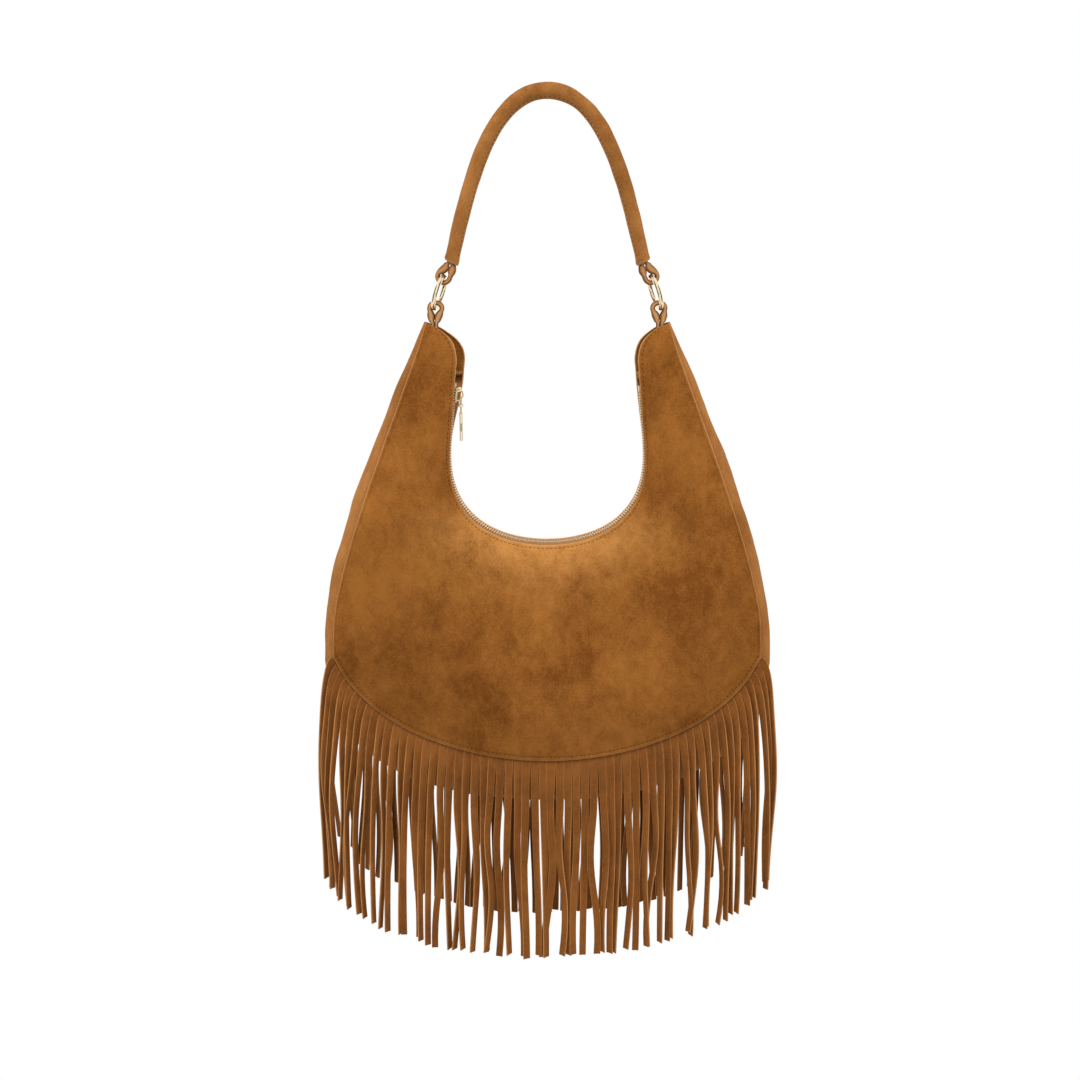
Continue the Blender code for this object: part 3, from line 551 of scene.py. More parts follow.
def suede_group():
    """Nap of brushed suede: a height for the bump and a shade from 0 to 1."""
    group = bpy.data.node_groups.new("suede_nap", "ShaderNodeTree")
    group.interface.new_socket("Vector", in_out="INPUT", socket_type="NodeSocketVector")
    group.interface.new_socket("Shade", in_out="OUTPUT", socket_type="NodeSocketFloat")
    group.interface.new_socket("Height", in_out="OUTPUT", socket_type="NodeSocketFloat")
    into = group.nodes.new("NodeGroupInput").outputs["Vector"]
    stretch = group.nodes.new("ShaderNodeMapping")
    fill(stretch, {"Scale": (1.0, 1.0, 0.7), "Rotation": (0.0, math.radians(48.0), 0.0), "Vector": into})
    brushed = stretch.outputs["Vector"]
    patches = noise_node(group, into, 10.0, 2.0, 0.5)
    clouds = noise_node(group, brushed, 34.0, 4.0, 0.60)
    strokes = noise_node(group, brushed, 130.0, 3.0, 0.6)
    grain = noise_node(group, into, 640.0, 3.0, 0.8)
    pores = noise_node(group, into, 520.0, 2.0, 0.6)
    parts = (
        (map_range(group, patches, 0.34, 0.66), 0.26),
        (map_range(group, clouds, 0.32, 0.68), 0.32),
        (map_range(group, strokes, 0.34, 0.66), 0.16),
        (map_range(group, grain, 0.36, 0.64), 0.26),
    )
    shade = None
    for value, weight in parts:
        weighted = math_node(group, "MULTIPLY", value, weight)
        shade = weighted if shade is None else math_node(group, "ADD", shade, weighted)
    fine = math_node(group, "MULTIPLY", grain, 0.55)
    coarse = math_node(group, "MULTIPLY", pores, 0.45)
    nap = math_node(group, "ADD", fine, coarse)
    height = math_node(group, "ADD", nap, math_node(group, "MULTIPLY", strokes, 0.5))
    fill(group.nodes.new("NodeGroupOutput"), {"Shade": shade, "Height": height})
    return group


# Colours and reaches of the painted highlight, a pale band under the opening where the panel's top faces the
# light, and of the painted shade that darkens the sides
SUEDE_NAP = suede_group()
PAINTED_HIGHLIGHT_COLOR = (0.66, 0.31, 0.085)
PAINTED_HIGHLIGHT_REACH = 0.034
PAINTED_HIGHLIGHT_MOST = 0.62
SHADE_AND_TONE_TINT = (0.52, 0.48, 0.40)
PAINTED_SHADE = 0.40
PAINTED_SHADE_HORN = 0.12
PAINTED_SHADE_MIDDLE = 0.03
PAINTED_SHADE_WIDTH = 0.19
PAINTED_SHADE_DROP = 0.30
WEAR_AND_HIGHLIGHT_SHARE = 0.8
NAP_BUMP = 0.35
DEEP_BROWN = (0.030, 0.010, 0.003)


def suede(name, dark, light, wear_and_highlight_color):
    """Brushed suede between two colours, darkened by painted shade and darker tone, paled in the painted
    highlight band, and paler where edge wear and painted edge highlight are painted.
    """
    made, tree, shader = new_material(name)
    nap = tree.nodes.new("ShaderNodeGroup")
    nap.node_tree = SUEDE_NAP
    fill(nap, {"Vector": object_coords(tree)})
    shade = nap.outputs["Shade"]
    color = ramp(tree, shade, dark, light, 0.22, 0.80)
    # Painted shade on the panels' sides, bottom and horns and on the fringe, and a darker tone on the straps
    # and fringe strips
    color = mix_colors(tree, attribute(tree, "dusk"), color, SHADE_AND_TONE_TINT, "MULTIPLY")
    patchy = map_range(tree, shade, 0.15, 0.65, 0.25, 1.0)
    # Painted highlight: a pale band under the opening, where the panel's top faces the light
    color = mix_colors(tree, math_node(tree, "MULTIPLY", attribute(tree, "painted_highlight"), patchy), color, PAINTED_HIGHLIGHT_COLOR)
    # Paler edges: edge wear and a painted highlight on raised edges
    color = mix_colors(tree, math_node(tree, "MULTIPLY", attribute(tree, "wear"), WEAR_AND_HIGHLIGHT_SHARE), color, wear_and_highlight_color)
    fill(shader, {
        "Base Color": color,
        "Roughness": 0.95,
        "Specular IOR Level": 0.06,
        "Sheen Weight": 0.14,
        "Sheen Roughness": 0.45,
        "Sheen Tint": (0.85, 0.52, 0.24, 1.0),
        "Normal": bump_normal(tree, nap.outputs["Height"], NAP_BUMP, 0.0006),
    })
    return made


def gold(name, color, roughness, metallic=1.0):
    """Pale gold plating with faint polishing marks in its gloss."""
    made, tree, shader = new_material(name)
    coords = object_coords(tree)
    marks = noise_node(tree, coords, 900.0, 4.0, 0.6)
    tone = noise_node(tree, coords, 240.0, 2.0)
    fill(shader, {
        "Metallic": metallic,
        "Roughness": map_range(tree, marks, 0.3, 0.7, roughness - 0.02, roughness + 0.03),
        "Base Color": ramp(tree, tone, [0.93 * c for c in color], color, 0.3, 0.7),
    })
    return made


def thread_material():
    """Waxed brown sewing thread with its ply."""
    made, tree, shader = new_material("brown_thread")
    ply = noise_node(tree, object_coords(tree), 2600.0, 2.0)
    color = ramp(tree, ply, DEEP_BROWN, (0.12, 0.042, 0.010))
    fill(shader, {"Base Color": color, "Roughness": 0.9, "Specular IOR Level": 0.1})
    return made


def tape_material():
    """Woven zip tape: ribs across it and a fine weave."""
    made, tree, shader = new_material("woven_tape")
    coords = object_coords(tree)
    ribs = tree.nodes.new("ShaderNodeTexWave")
    ribs.bands_direction = "Y"
    fill(ribs, {"Scale": 380.0, "Distortion": 0.6, "Vector": coords})
    fuzz = noise_node(tree, coords, 1800.0, 2.0)
    weave = math_node(tree, "ADD", math_node(tree, "MULTIPLY", ribs.outputs["Fac"], 0.6), fuzz)
    color = ramp(tree, weave, (0.16, 0.062, 0.016), (0.46, 0.21, 0.065), 0.25)
    fill(shader, {
        "Base Color": mix_colors(tree, attribute(tree, "shade"), color, DEEP_BROWN),
        "Roughness": 0.95,
        "Specular IOR Level": 0.06,
        "Normal": bump_normal(tree, weave, 0.5, 0.0003),
    })
    return made


PANEL_SUEDE = suede("panel_suede", (0.175, 0.056, 0.0088), (0.380, 0.144, 0.029), (0.76, 0.43, 0.19))
# The gusset's suede is a lighter copy of the panels': painted light for the side light the gusset catches
GUSSET_SUEDE_PAINTED_LIGHTER = suede("gusset_suede_painted_lighter", (0.235, 0.085, 0.019), (0.410, 0.172, 0.049), (0.58, 0.28, 0.10))
FRINGE_SUEDE = suede("fringe_suede", (0.150, 0.044, 0.0070), (0.315, 0.108, 0.0205), (0.60, 0.29, 0.11))
HANDLE_SUEDE = suede("handle_suede", (0.205, 0.074, 0.016), (0.375, 0.157, 0.043), (0.60, 0.31, 0.13))
PALE_GOLD = gold("pale_gold", (0.95, 0.80, 0.55), 0.08)
ZIP_METAL = gold("zip_gold", (1.0, 0.82, 0.54), 0.30, 0.55)
THREAD = thread_material()
TAPE = tape_material()

# Distances from an edge where a panel's mesh has rows, and how far each row stands proud
EDGE_STEPS = np.array([
    0.0, 0.0005, 0.0012, 0.0021, 0.0030, 0.0036, 0.0040, 0.0044, 0.0051, 0.0064, 0.0085])
EDGE_LIFTS = np.array([-0.35, 0.12, 0.34, 0.38, 0.22, -0.05, -0.16, -0.05, 0.10, 0.06, 0.0]) * 0.001
MIDDLE_COLUMNS = 22
SMOOTHING_ROUNDS = 26
PANEL_RIPPLES = ((0.085, 0.0011), (0.034, 0.00022))
GUSSET_RIPPLES = ((0.060, 0.0009), (0.022, 0.00025))
HANDLE_RIPPLES = ((0.016, 0.00012), (0.045, 0.00018))
PUCKER_PITCH = 0.0082
PUCKER_DRIFT = 0.05
PUCKER_HEIGHT = 0.00010
SEAM_WEAR_AND_HIGHLIGHT = 0.42
HORN_LEAN_LEFT = 0.0056
HORN_LEAN_RIGHT = 0.0012
HORN_LEAN_TOP = 0.026
HORN_LEAN_LOW = 0.045
HORN_LEAN_FOOT = 0.100
EDGE_FULL_LENGTH = 0.030


def lean_horns(grid):
    """The back's horns lean into the opening, the left one by more, and fade out to the seam."""
    x, y, z = grid[..., 0], grid[..., 1], grid[..., 2]
    drop = TIP[1] - z
    rise = smoothstep(drop / HORN_LEAN_TOP)
    fall = 1.0 - smoothstep((drop - HORN_LEAN_LOW) / (HORN_LEAN_FOOT - HORN_LEAN_LOW))
    edge = np.interp(-z, -INNER[:, 1], INNER[:, 0])
    seam = np.interp(-z, -SEAM_SIDE[:, 1], SEAM_SIDE[:, 0])
    inner_share = 1.0 - smoothstep((np.abs(x) - edge) / np.maximum(seam - edge, 0.004))
    deep = smoothstep((y - 0.0032) / 0.0055)
    reach = np.where(x < 0, HORN_LEAN_LEFT, -HORN_LEAN_RIGHT)
    moved = grid.copy()
    moved[..., 0] += reach * rise * fall * inner_share * deep
    return moved


def panel_rows(face, seed):
    """Outer and inner points of a panel's rows, and its edge wear and painted edge highlight."""
    outer, inner, wear = [], [], []
    for i in range(len(STATIONS)):
        total = run_lengths(PROFILES[i])[-1]
        shrink = min(1.0, total / EDGE_FULL_LENGTH)
        edge = EDGE_STEPS * shrink
        middle = np.linspace(edge[-1], total - edge[-1], MIDDLE_COLUMNS + 2)[1:-1]
        lengths = np.concatenate([edge, middle, (total - edge)[::-1]])
        lifts = np.concatenate([EDGE_LIFTS, np.zeros(MIDDLE_COLUMNS), EDGE_LIFTS[::-1]]) * shrink
        spot, out = profile_at(i, lengths)
        outer.append(to_space(i, spot + out * lifts[:, None], face))
        inner.append(to_space(i, spot - out * SUEDE, face))
        from_edge = np.minimum(lengths, total - lengths)
        # Paler along the edges: edge wear and a painted highlight on the rolled edge
        edge_wear = np.clip(1.35 - from_edge / (0.0011 * max(shrink, 0.3)), 0.0, 1.0)
        wear.append(edge_wear * np.where(lengths < total / 2, 1.0, SEAM_WEAR_AND_HIGHLIGHT))
    outer, inner, wear = np.array(outer), np.array(inner), np.array(wear)
    columns = outer.shape[1]
    fade = np.minimum(np.arange(columns), np.arange(columns)[::-1]) / len(EDGE_STEPS)
    fade = np.clip(fade - 1.0, 0.0, 1.0)[None, :, None]
    for grid in (outer, inner):
        for _ in range(SMOOTHING_ROUNDS):
            near = grid.copy()
            near[1:-1] = (grid[:-2] + 2 * grid[1:-1] + grid[2:]) / 4
            grid += (near - grid) * fade
    soft = ripples(outer, seed, PANEL_RIPPLES) * np.clip(fade[..., 0] * 1.6, 0.0, 1.0)
    outer[..., 1] += face * soft
    inner[..., 1] += face * soft
    pucker_run = run_lengths(SEAM_POINTS)
    pucker = np.sin(pucker_run / PUCKER_PITCH * 2 * math.pi + 1.7 * np.sin(pucker_run / PUCKER_DRIFT))
    near_edge = np.concatenate([EDGE_STEPS * 0 + 1.0, np.zeros(MIDDLE_COLUMNS), EDGE_STEPS * 0 + 1.0])
    outer[..., 1] += face * PUCKER_HEIGHT * pucker[:, None] * near_edge[None, :]
    if face > 0:
        outer, inner = lean_horns(outer), lean_horns(inner)
    return outer, inner, wear


def make_panel(name, face, node, seed):
    outer, inner, wear = panel_rows(face, seed)
    ring = np.concatenate([outer, inner[:, ::-1]], axis=1)
    # Painted highlight in a band under the opening, and painted shade darker towards the sides and bottom and
    # on the horns
    below = smoothstep((OPENING_FLOOR + 0.045 - outer[..., 2]) / 0.04)
    from_opening = np.linalg.norm(outer - outer[:, :1], axis=2)
    painted_highlight = below * np.exp(-(from_opening / PAINTED_HIGHLIGHT_REACH) ** 2) * PAINTED_HIGHLIGHT_MOST
    away = (outer[..., 0] - PAINTED_SHADE_MIDDLE) / PAINTED_SHADE_WIDTH
    from_middle = np.hypot(away, (outer[..., 2] - OPENING_FLOOR) / PAINTED_SHADE_DROP)
    dusk = smoothstep((from_middle - 0.35) / 0.6) * below * PAINTED_SHADE + (1.0 - below) * PAINTED_SHADE_HORN
    outside = {
        label: np.concatenate([values, 0.0 * values], axis=1)
        for label, values in (("wear", wear), ("painted_highlight", painted_highlight), ("dusk", dusk))
    }
    faces = folded_faces(*ring.shape[:2])
    new_piece(name, ring.reshape(-1, 3), faces, PANEL_SUEDE, "bag", node, "suede_tan", **outside)
    return outer


def stitch_mesh(lines, radius=STITCH_RADIUS, pitch=STITCH_PITCH, length=STITCH_LENGTH):
    """Short stitches along lines of points with a normal each."""
    verts, faces = [], []
    shares = (-0.5, -0.3, 0.3, 0.5)
    sizes = (0.35, 1.0, 1.0, 0.35)
    sinks = (0.9, 0.15, 0.15, 0.9)
    for line, normals in lines:
        runs = run_lengths(line)
        count = int(runs[-1] / pitch)
        centres = (np.arange(count) + 0.5) * runs[-1] / count
        for centre in centres:
            spots = walk(line, centre + np.array(shares) * length)
            out = unit(np.array([np.interp(centre, runs, normals[:, i]) for i in range(3)]))
            run = unit(spots[-1] - spots[0])
            side = unit(np.cross(run, out))
            start = len(verts)
            for spot, size, sink in zip(spots, sizes, sinks):
                middle = spot - out * sink * radius
                for k in range(THREAD_SIDES):
                    a = 2 * math.pi * k / THREAD_SIDES
                    verts.append(middle + radius * size * (side * math.cos(a) + out * math.sin(a)))
            faces += tube_faces(len(shares), THREAD_SIDES, start)
    return verts, faces


def grid_normals(outer, column, face):
    """Outward normals of a panel grid along one column."""
    along = np.gradient(outer[:, column], axis=0)
    across = outer[:, min(column + 2, outer.shape[1] - 1)] - outer[:, max(column - 2, 0)]
    normal = np.cross(along, across)
    normal /= np.linalg.norm(normal, axis=1)[:, None]
    return normal * np.where(normal[:, 1:2] * face > 0, 1.0, -1.0)


def make_panel_stitches(name, outer, face):
    """Topstitching along the horns' and the opening's edge, and along the lower seam."""
    column = int(np.argmin(np.abs(EDGE_STEPS - STITCH_INSET)))
    last = outer.shape[1] - 1 - column
    lines = []
    for c, rows in ((column, slice(5, -5)), (last, slice(SIDE_COUNT, len(outer) - SIDE_COUNT))):
        lines.append((outer[rows, c], grid_normals(outer, c, face)[rows]))
    verts, faces = stitch_mesh(lines)
    new_piece(name, verts, faces, THREAD, "bag", slot_name="suede_tan")


def make_gusset():
    """The gusset as a smooth strip with a turned lap under each panel."""
    angles = np.radians(np.linspace(0.0, 84.0, 13))
    rings = []
    for i in range(len(STATIONS)):
        lap = min(SEAM_LAP, 0.4 * LENGTHS[i])
        depth = SEAM_DEPTH[i] - EDGE_SINK[i]

        def half(shrink):
            reach = LENGTHS[i] + (BULGE[i] - shrink) * np.sin(angles)
            deep = (depth - shrink) * np.cos(angles)
            first = np.array([[LENGTHS[i] - lap, depth - shrink]])
            return np.concatenate([first, np.stack([reach, deep], -1)])

        ring = []
        for shrink, order in ((0.0, 1), (GUSSET_THICKNESS, -1)):
            side = half(shrink)
            ridge = np.array([[LENGTHS[i] + BULGE[i] - shrink, 0.0]])
            strip = np.concatenate([
                to_space(i, side, -1), to_space(i, ridge, 1), to_space(i, side[::-1], 1),
            ])
            ring.append(strip[::order])
        rings.append(np.concatenate(ring))
    grid = np.array(rings)
    columns = grid.shape[1]
    half_columns = columns // 2
    place = np.abs(np.linspace(-1, 1, half_columns))
    fade = np.clip((0.86 - np.concatenate([place, place[::-1]])) / 0.25, 0.0, 1.0)
    soft = ripples(grid, 31, GUSSET_RIPPLES)
    swell = np.minimum(1.0, BULGE / 0.010)[:, None]
    away = np.stack([ALONG[:, 0], np.zeros(len(ALONG)), ALONG[:, 1]], -1)[:, None, :]
    grid += away * (soft * fade[None, :] * swell)[..., None]
    verts = grid.reshape(-1, 3)
    faces = folded_faces(len(grid), columns)
    new_piece(
        "gusset_strip", verts, faces, GUSSET_SUEDE_PAINTED_LIGHTER, "bag", "gusset", "suede_gusset",
        wear=np.zeros(len(verts)))


STRIP_ROWS = 27
STRIP_SECTION = (
    (-1.0, -1.0), (-1.0, 1.0), (-0.88, 1.0), (0.0, 1.0), (0.88, 1.0),
    (1.0, 1.0), (1.0, -1.0), (0.88, -1.0), (0.0, -1.0), (-0.88, -1.0),
)
CREASE = math.radians(45.0)
FRINGE_SWAY = 0.0027
FRINGE_SLIMMING = 0.11
# Painted shade on the back comb and on each strip's inner face, toward the bag; STRIP_DUSK is a random darker
# tone per strip
BACK_COMB_SHADE = 0.85
STRIP_DUSK = 0.35
INNER_FACE_SHADE = 0.50
MOST_TWIST = math.radians(60.0)
LENGTH_SPREAD = (-0.0025, 0.0015)
GROUP_KEPT = 0.35
GROUP_SWAY = 0.0027
GROUP_MOST = 0.0050
STRIP_LIFT = 0.0016
STRIP_LAYER = 0.00035
END_SLANT = 0.0003


def make_fringe(name, face, node, seed, loose):
    """One comb of soft strips, cut from a single strip of suede sewn into the seam."""
    rng = np.random.default_rng(seed)
    line = both_sides(SEAM_LOWER[::-1])
    total = run_lengths(line)[-1]
    pitch = total / FRINGE_STRIPS
    depth = BODY_HALF_DEPTH - SUEDE - GAP - FRINGE_THICKNESS / 2

    def seam_at(length):
        spot = walk(line, np.clip(length, 0.0, total))
        run = unit(walk(line, min(total, length + 0.002)) - walk(line, max(0.0, length - 0.002)))
        return spot, xz(run[1], -run[0])

    verts, faces, wear, dusk = [], [], [], []
    cuts = []
    for i in range(FRINGE_STRIPS):
        left = 0.0 if i == 0 else i * pitch + FRINGE_SLOT / 2
        right = total if i == FRINGE_STRIPS - 1 else (i + 1) * pitch - FRINGE_SLOT / 2
        cuts.append((left, right))
    half_thick = FRINGE_THICKNESS / 2

    # The header that is sewn between the panel and the gusset
    start = len(verts)
    ends = sorted({0.0, total} | set(np.linspace(0.0, total, 181)))
    for length in ends:
        spot, out = seam_at(length)
        for reach in (-FRINGE_TUCK, FRINGE_ROOT):
            for side in (-half_thick, half_thick):
                p = spot + out * reach
                verts.append((p[0], face * (depth + side), p[1]))
                wear.append(0.0)
                # The header takes the back comb's painted shade
                dusk.append(BACK_COMB_SHADE)
    for i in range(len(ends) - 1):
        a, b = start + 4 * i, start + 4 * i + 4
        for p, q in ((0, 1), (1, 3), (3, 2), (2, 0)):
            faces.append((a + p, a + q, b + q, b + p))
    last = start + 4 * (len(ends) - 1)
    faces += [(start, start + 2, start + 3, start + 1), (last, last + 1, last + 3, last + 2)]

    shares = np.linspace(0.0, 1.0, STRIP_ROWS) ** 1.15
    group = 0.0
    area = total * (FRINGE_TUCK + FRINGE_ROOT)
    for i, (left, right) in enumerate(cuts):
        middle = (left + right) / 2
        half_width = (right - left) / 2
        spot, out = seam_at(middle)
        root = spot + out * (FRINGE_ROOT - 0.0006)
        length = FRINGE_LENGTH + FRINGE_SIDE_EXTRA * abs(out[0]) + rng.uniform(*LENGTH_SPREAD)
        group = GROUP_KEPT * group + rng.normal(0.0, GROUP_SWAY)
        sway = np.clip(group, -GROUP_MOST, GROUP_MOST)
        end = xz(root[0] + FRINGE_DRIFT * out[0] + sway, spot[1] - length)
        curve = (root, root + out * FRINGE_LEAVE, end + xz(0.0, 0.45 * length), end)
        centre = bezier(curve, shares)
        low = smoothstep((shares - 0.30) / 0.5)
        bend = np.sin(math.pi * (shares - 0.3) * rng.uniform(1.3, 2.8) + rng.uniform(-0.5, 0.5))
        centre[:, 0] += rng.normal(0.0, FRINGE_SWAY) * bend * low
        area += (right - left) * run_lengths(centre)[-1]
        run = directions(centre)
        across = np.stack([-run[:, 1], run[:, 0]], -1)
        steep = min(1.0, abs(out[0]) / 0.55)
        side = -1.0 if spot[0] < 0 else 1.0
        level = math.radians(4.0 + 44.0 * steep ** 1.4 + rng.uniform(-4.0, 8.0))
        twist = side * level * smoothstep(shares / rng.uniform(0.22, 0.55))
        start_low = rng.uniform(0.18, 0.50)
        turned = rng.uniform(*loose) * (1.0 if rng.random() < 0.5 + 0.4 * side * steep else -1.0)
        twist += math.radians(turned) * smoothstep((shares - start_low) / 0.40)
        twist = MOST_TWIST * np.tanh(twist / MOST_TWIST)
        slimming = FRINGE_SLIMMING * (1.0 + 0.9 * steep)
        width = half_width * (1.0 - slimming * smoothstep(shares / 0.6)) * (1 + 0.02 * rng.normal())
        layer = STRIP_LAYER if i % 2 else -STRIP_LAYER
        forward = STRIP_LIFT * smoothstep(shares / 0.3) + layer * smoothstep(shares / 0.1)
        forward += rng.normal(0.0, 0.0010) * np.sin(math.pi * shares * rng.uniform(0.8, 1.8)) * shares
        cup = rng.uniform(0.0001, 0.0004) * smoothstep(shares / 0.3)
        slant = rng.uniform(-END_SLANT, END_SLANT)
        # Painted shade on the back comb, plus a random darker tone per strip
        tone = BACK_COMB_SHADE if face > 0 else 0.0
        tone += rng.uniform(0.0, STRIP_DUSK)
        start = len(verts)
        for r in range(STRIP_ROWS):
            turn = twist[r]
            ax = across[r] * math.cos(turn)
            ay = math.sin(turn)
            nx = -across[r] * math.sin(turn)
            ny = math.cos(turn)
            for w, h in STRIP_SECTION:
                lift = h * half_thick + cup[r] * (w * w - 0.5)
                p = centre[r] + ax * width[r] * w + nx * lift
                y = depth + forward[r] + ay * width[r] * w + ny * lift
                if r == STRIP_ROWS - 1:
                    p = p + xz(0.0, slant * w)
                verts.append((p[0], face * y, p[1]))
                # Paler strip edges: edge wear and painted highlight
                wear.append(0.9 if abs(w) == 1.0 else 0.08)
                # Painted shade on the strip's inner face
                dusk.append(tone + (INNER_FACE_SHADE if h < 0 else 0.0))
        faces += tube_faces(STRIP_ROWS, len(STRIP_SECTION), start)
    piece = new_piece(name, verts, faces, FRINGE_SUEDE, "bag", node, "suede_fringe", wear=wear, dusk=dusk)
    piece.data.set_sharp_from_angle(angle=CREASE)


# How far above the slider and the end stop the tape's shade starts and ends
SHADE_HIGH = 0.0080
SHADE_LOW = 0.0030


def make_tape(name, face, node):
    """One woven half of the zip, from the teeth to its lap under the panel's edge."""
    rings = []
    for i in range(*ZIP_ROWS.indices(len(STATIONS))):
        top = SUEDE + GAP
        lap_spots, lap_out = profile_at(i, np.linspace(0.0, min(TAPE_LAP, 0.4 * LENGTHS[i]), 5))
        upper_lap = lap_spots - lap_out * top
        lower_lap = lap_spots - lap_out * (top + TAPE_THICKNESS)
        start = CHAIN_HALF_WIDTH - 0.0012
        half = TAPE_THICKNESS / 2
        shares = np.linspace(0.0, 1.0, 7)[:-1, None]
        upper = xz(CHAIN_SINK - half, start) + (upper_lap[0] - xz(CHAIN_SINK - half, start)) * shares
        lower = xz(CHAIN_SINK + half, start) + (lower_lap[0] - xz(CHAIN_SINK + half, start)) * shares
        ring = np.concatenate([upper, upper_lap, lower_lap[::-1], lower[::-1]])
        rings.append(to_space(i, ring, face))
    grid = np.array(rings)
    if face > 0:
        grid = lean_horns(grid)
    starts = np.where(grid[..., 0] < 0, SLIDER_REST - STOP_LENGTH, END_STOP_FOOT - STOP_LENGTH)
    down = (LEG_TOP[1] - grid[..., 2]) / math.cos(LEG_LEAN)
    past = down - starts
    shade = smoothstep((past + SHADE_HIGH) / 0.002) * (1.0 - smoothstep((past + SHADE_LOW) / 0.003))
    faces = tube_faces(*grid.shape[:2])
    new_piece(name, grid.reshape(-1, 3), faces, TAPE, "bag", node, "zip_tape", shade=shade)


# A tooth's outline as drawn for one pitch, which is slimmed to the chain's own
TOOTH_PITCH = 0.00225
TOOTH_DRAWN_PITCH = 0.0033
TOOTH_CHAMFER = 0.0004
TOOTH_CREST = 0.72
TOOTH_OUTLINE = (
    (-0.00046, -0.00042), (0.00046, -0.00042), (0.00060, 0.00030), (0.00042, 0.00085),
    (0.00056, 0.00160), (0.00054, 0.00500), (-0.00054, 0.00500), (-0.00056, 0.00160),
    (-0.00042, 0.00085), (-0.00060, 0.00030),
)


def make_teeth(name, face, node):
    """One row of separate cast teeth, which mesh with the other row's."""
    points = INNER_POINTS[ZIP_ROWS]
    chain_run = directions(points)
    outs = np.stack([chain_run[:, 1], -chain_run[:, 0]], -1)
    runs = run_lengths(points)
    left_top = xz(-LEG_TOP[0], LEG_TOP[1]) + xz(-LEG_DOWN[0], LEG_DOWN[1]) * SLIDER_REST
    right_top = LEG_TOP + LEG_DOWN * (END_STOP_FOOT + GAP)
    start_run = np.interp(left_top[1], points[:40, 1][::-1], runs[:40][::-1])
    end_run = np.interp(right_top[1], points[-40:, 1], runs[-40:])
    count = int((end_run - start_run) / TOOTH_PITCH)
    shift = 0.25 if face < 0 else 0.75
    half = CHAIN_THICKNESS / 2
    slim = TOOTH_PITCH / TOOTH_DRAWN_PITCH
    levels = (
        (-half, TOOTH_CREST), (-half + TOOTH_CHAMFER, 1.0), (half - TOOTH_CHAMFER, 1.0), (half, TOOTH_CREST),
    )
    verts, faces = [], []
    for n in range(count):
        centre = start_run + (n + shift) * (end_run - start_run) / count
        spot = walk(points, centre)
        out = unit(np.array([np.interp(centre, runs, outs[:, k]) for k in range(2)]))
        run = xz(-out[1], out[0])
        start = len(verts)
        for level, shrink in levels:
            for a, y in TOOTH_OUTLINE:
                p = spot + out * (CHAIN_SINK + level) + run * a * shrink * slim
                verts.append((p[0], face * y, p[1]))
        faces += tube_faces(len(levels), len(TOOTH_OUTLINE), start)
    new_piece(name, verts, faces, ZIP_METAL, "bag", node, "zip_metal", smooth=False)


def handle_line():
    crown = xz(0.0, HANDLE_CROWN_RADIUS)
    rise = crown[1] - HANDLE_END[1]
    down = xz(math.sin(HANDLE_END_LEAN), -math.cos(HANDLE_END_LEAN))
    right = sample([(
        crown,
        crown + xz(HANDLE_CROWN_PULL * HANDLE_END[0], 0.0),
        HANDLE_END - down * HANDLE_LEG_PULL * rise,
        HANDLE_END,
    )], 90)
    return both_sides(right)


HANDLE_SIDES = 40
HANDLE_WALL = 0.0012
HANDLE_TAPER = 0.06
HANDLE_TAPER_LENGTH = 0.040
HANDLE_CUT = math.radians(13.0)
HANDLE_CUT_SHIFT = -0.15
HANDLE_CUT_ROWS = 7


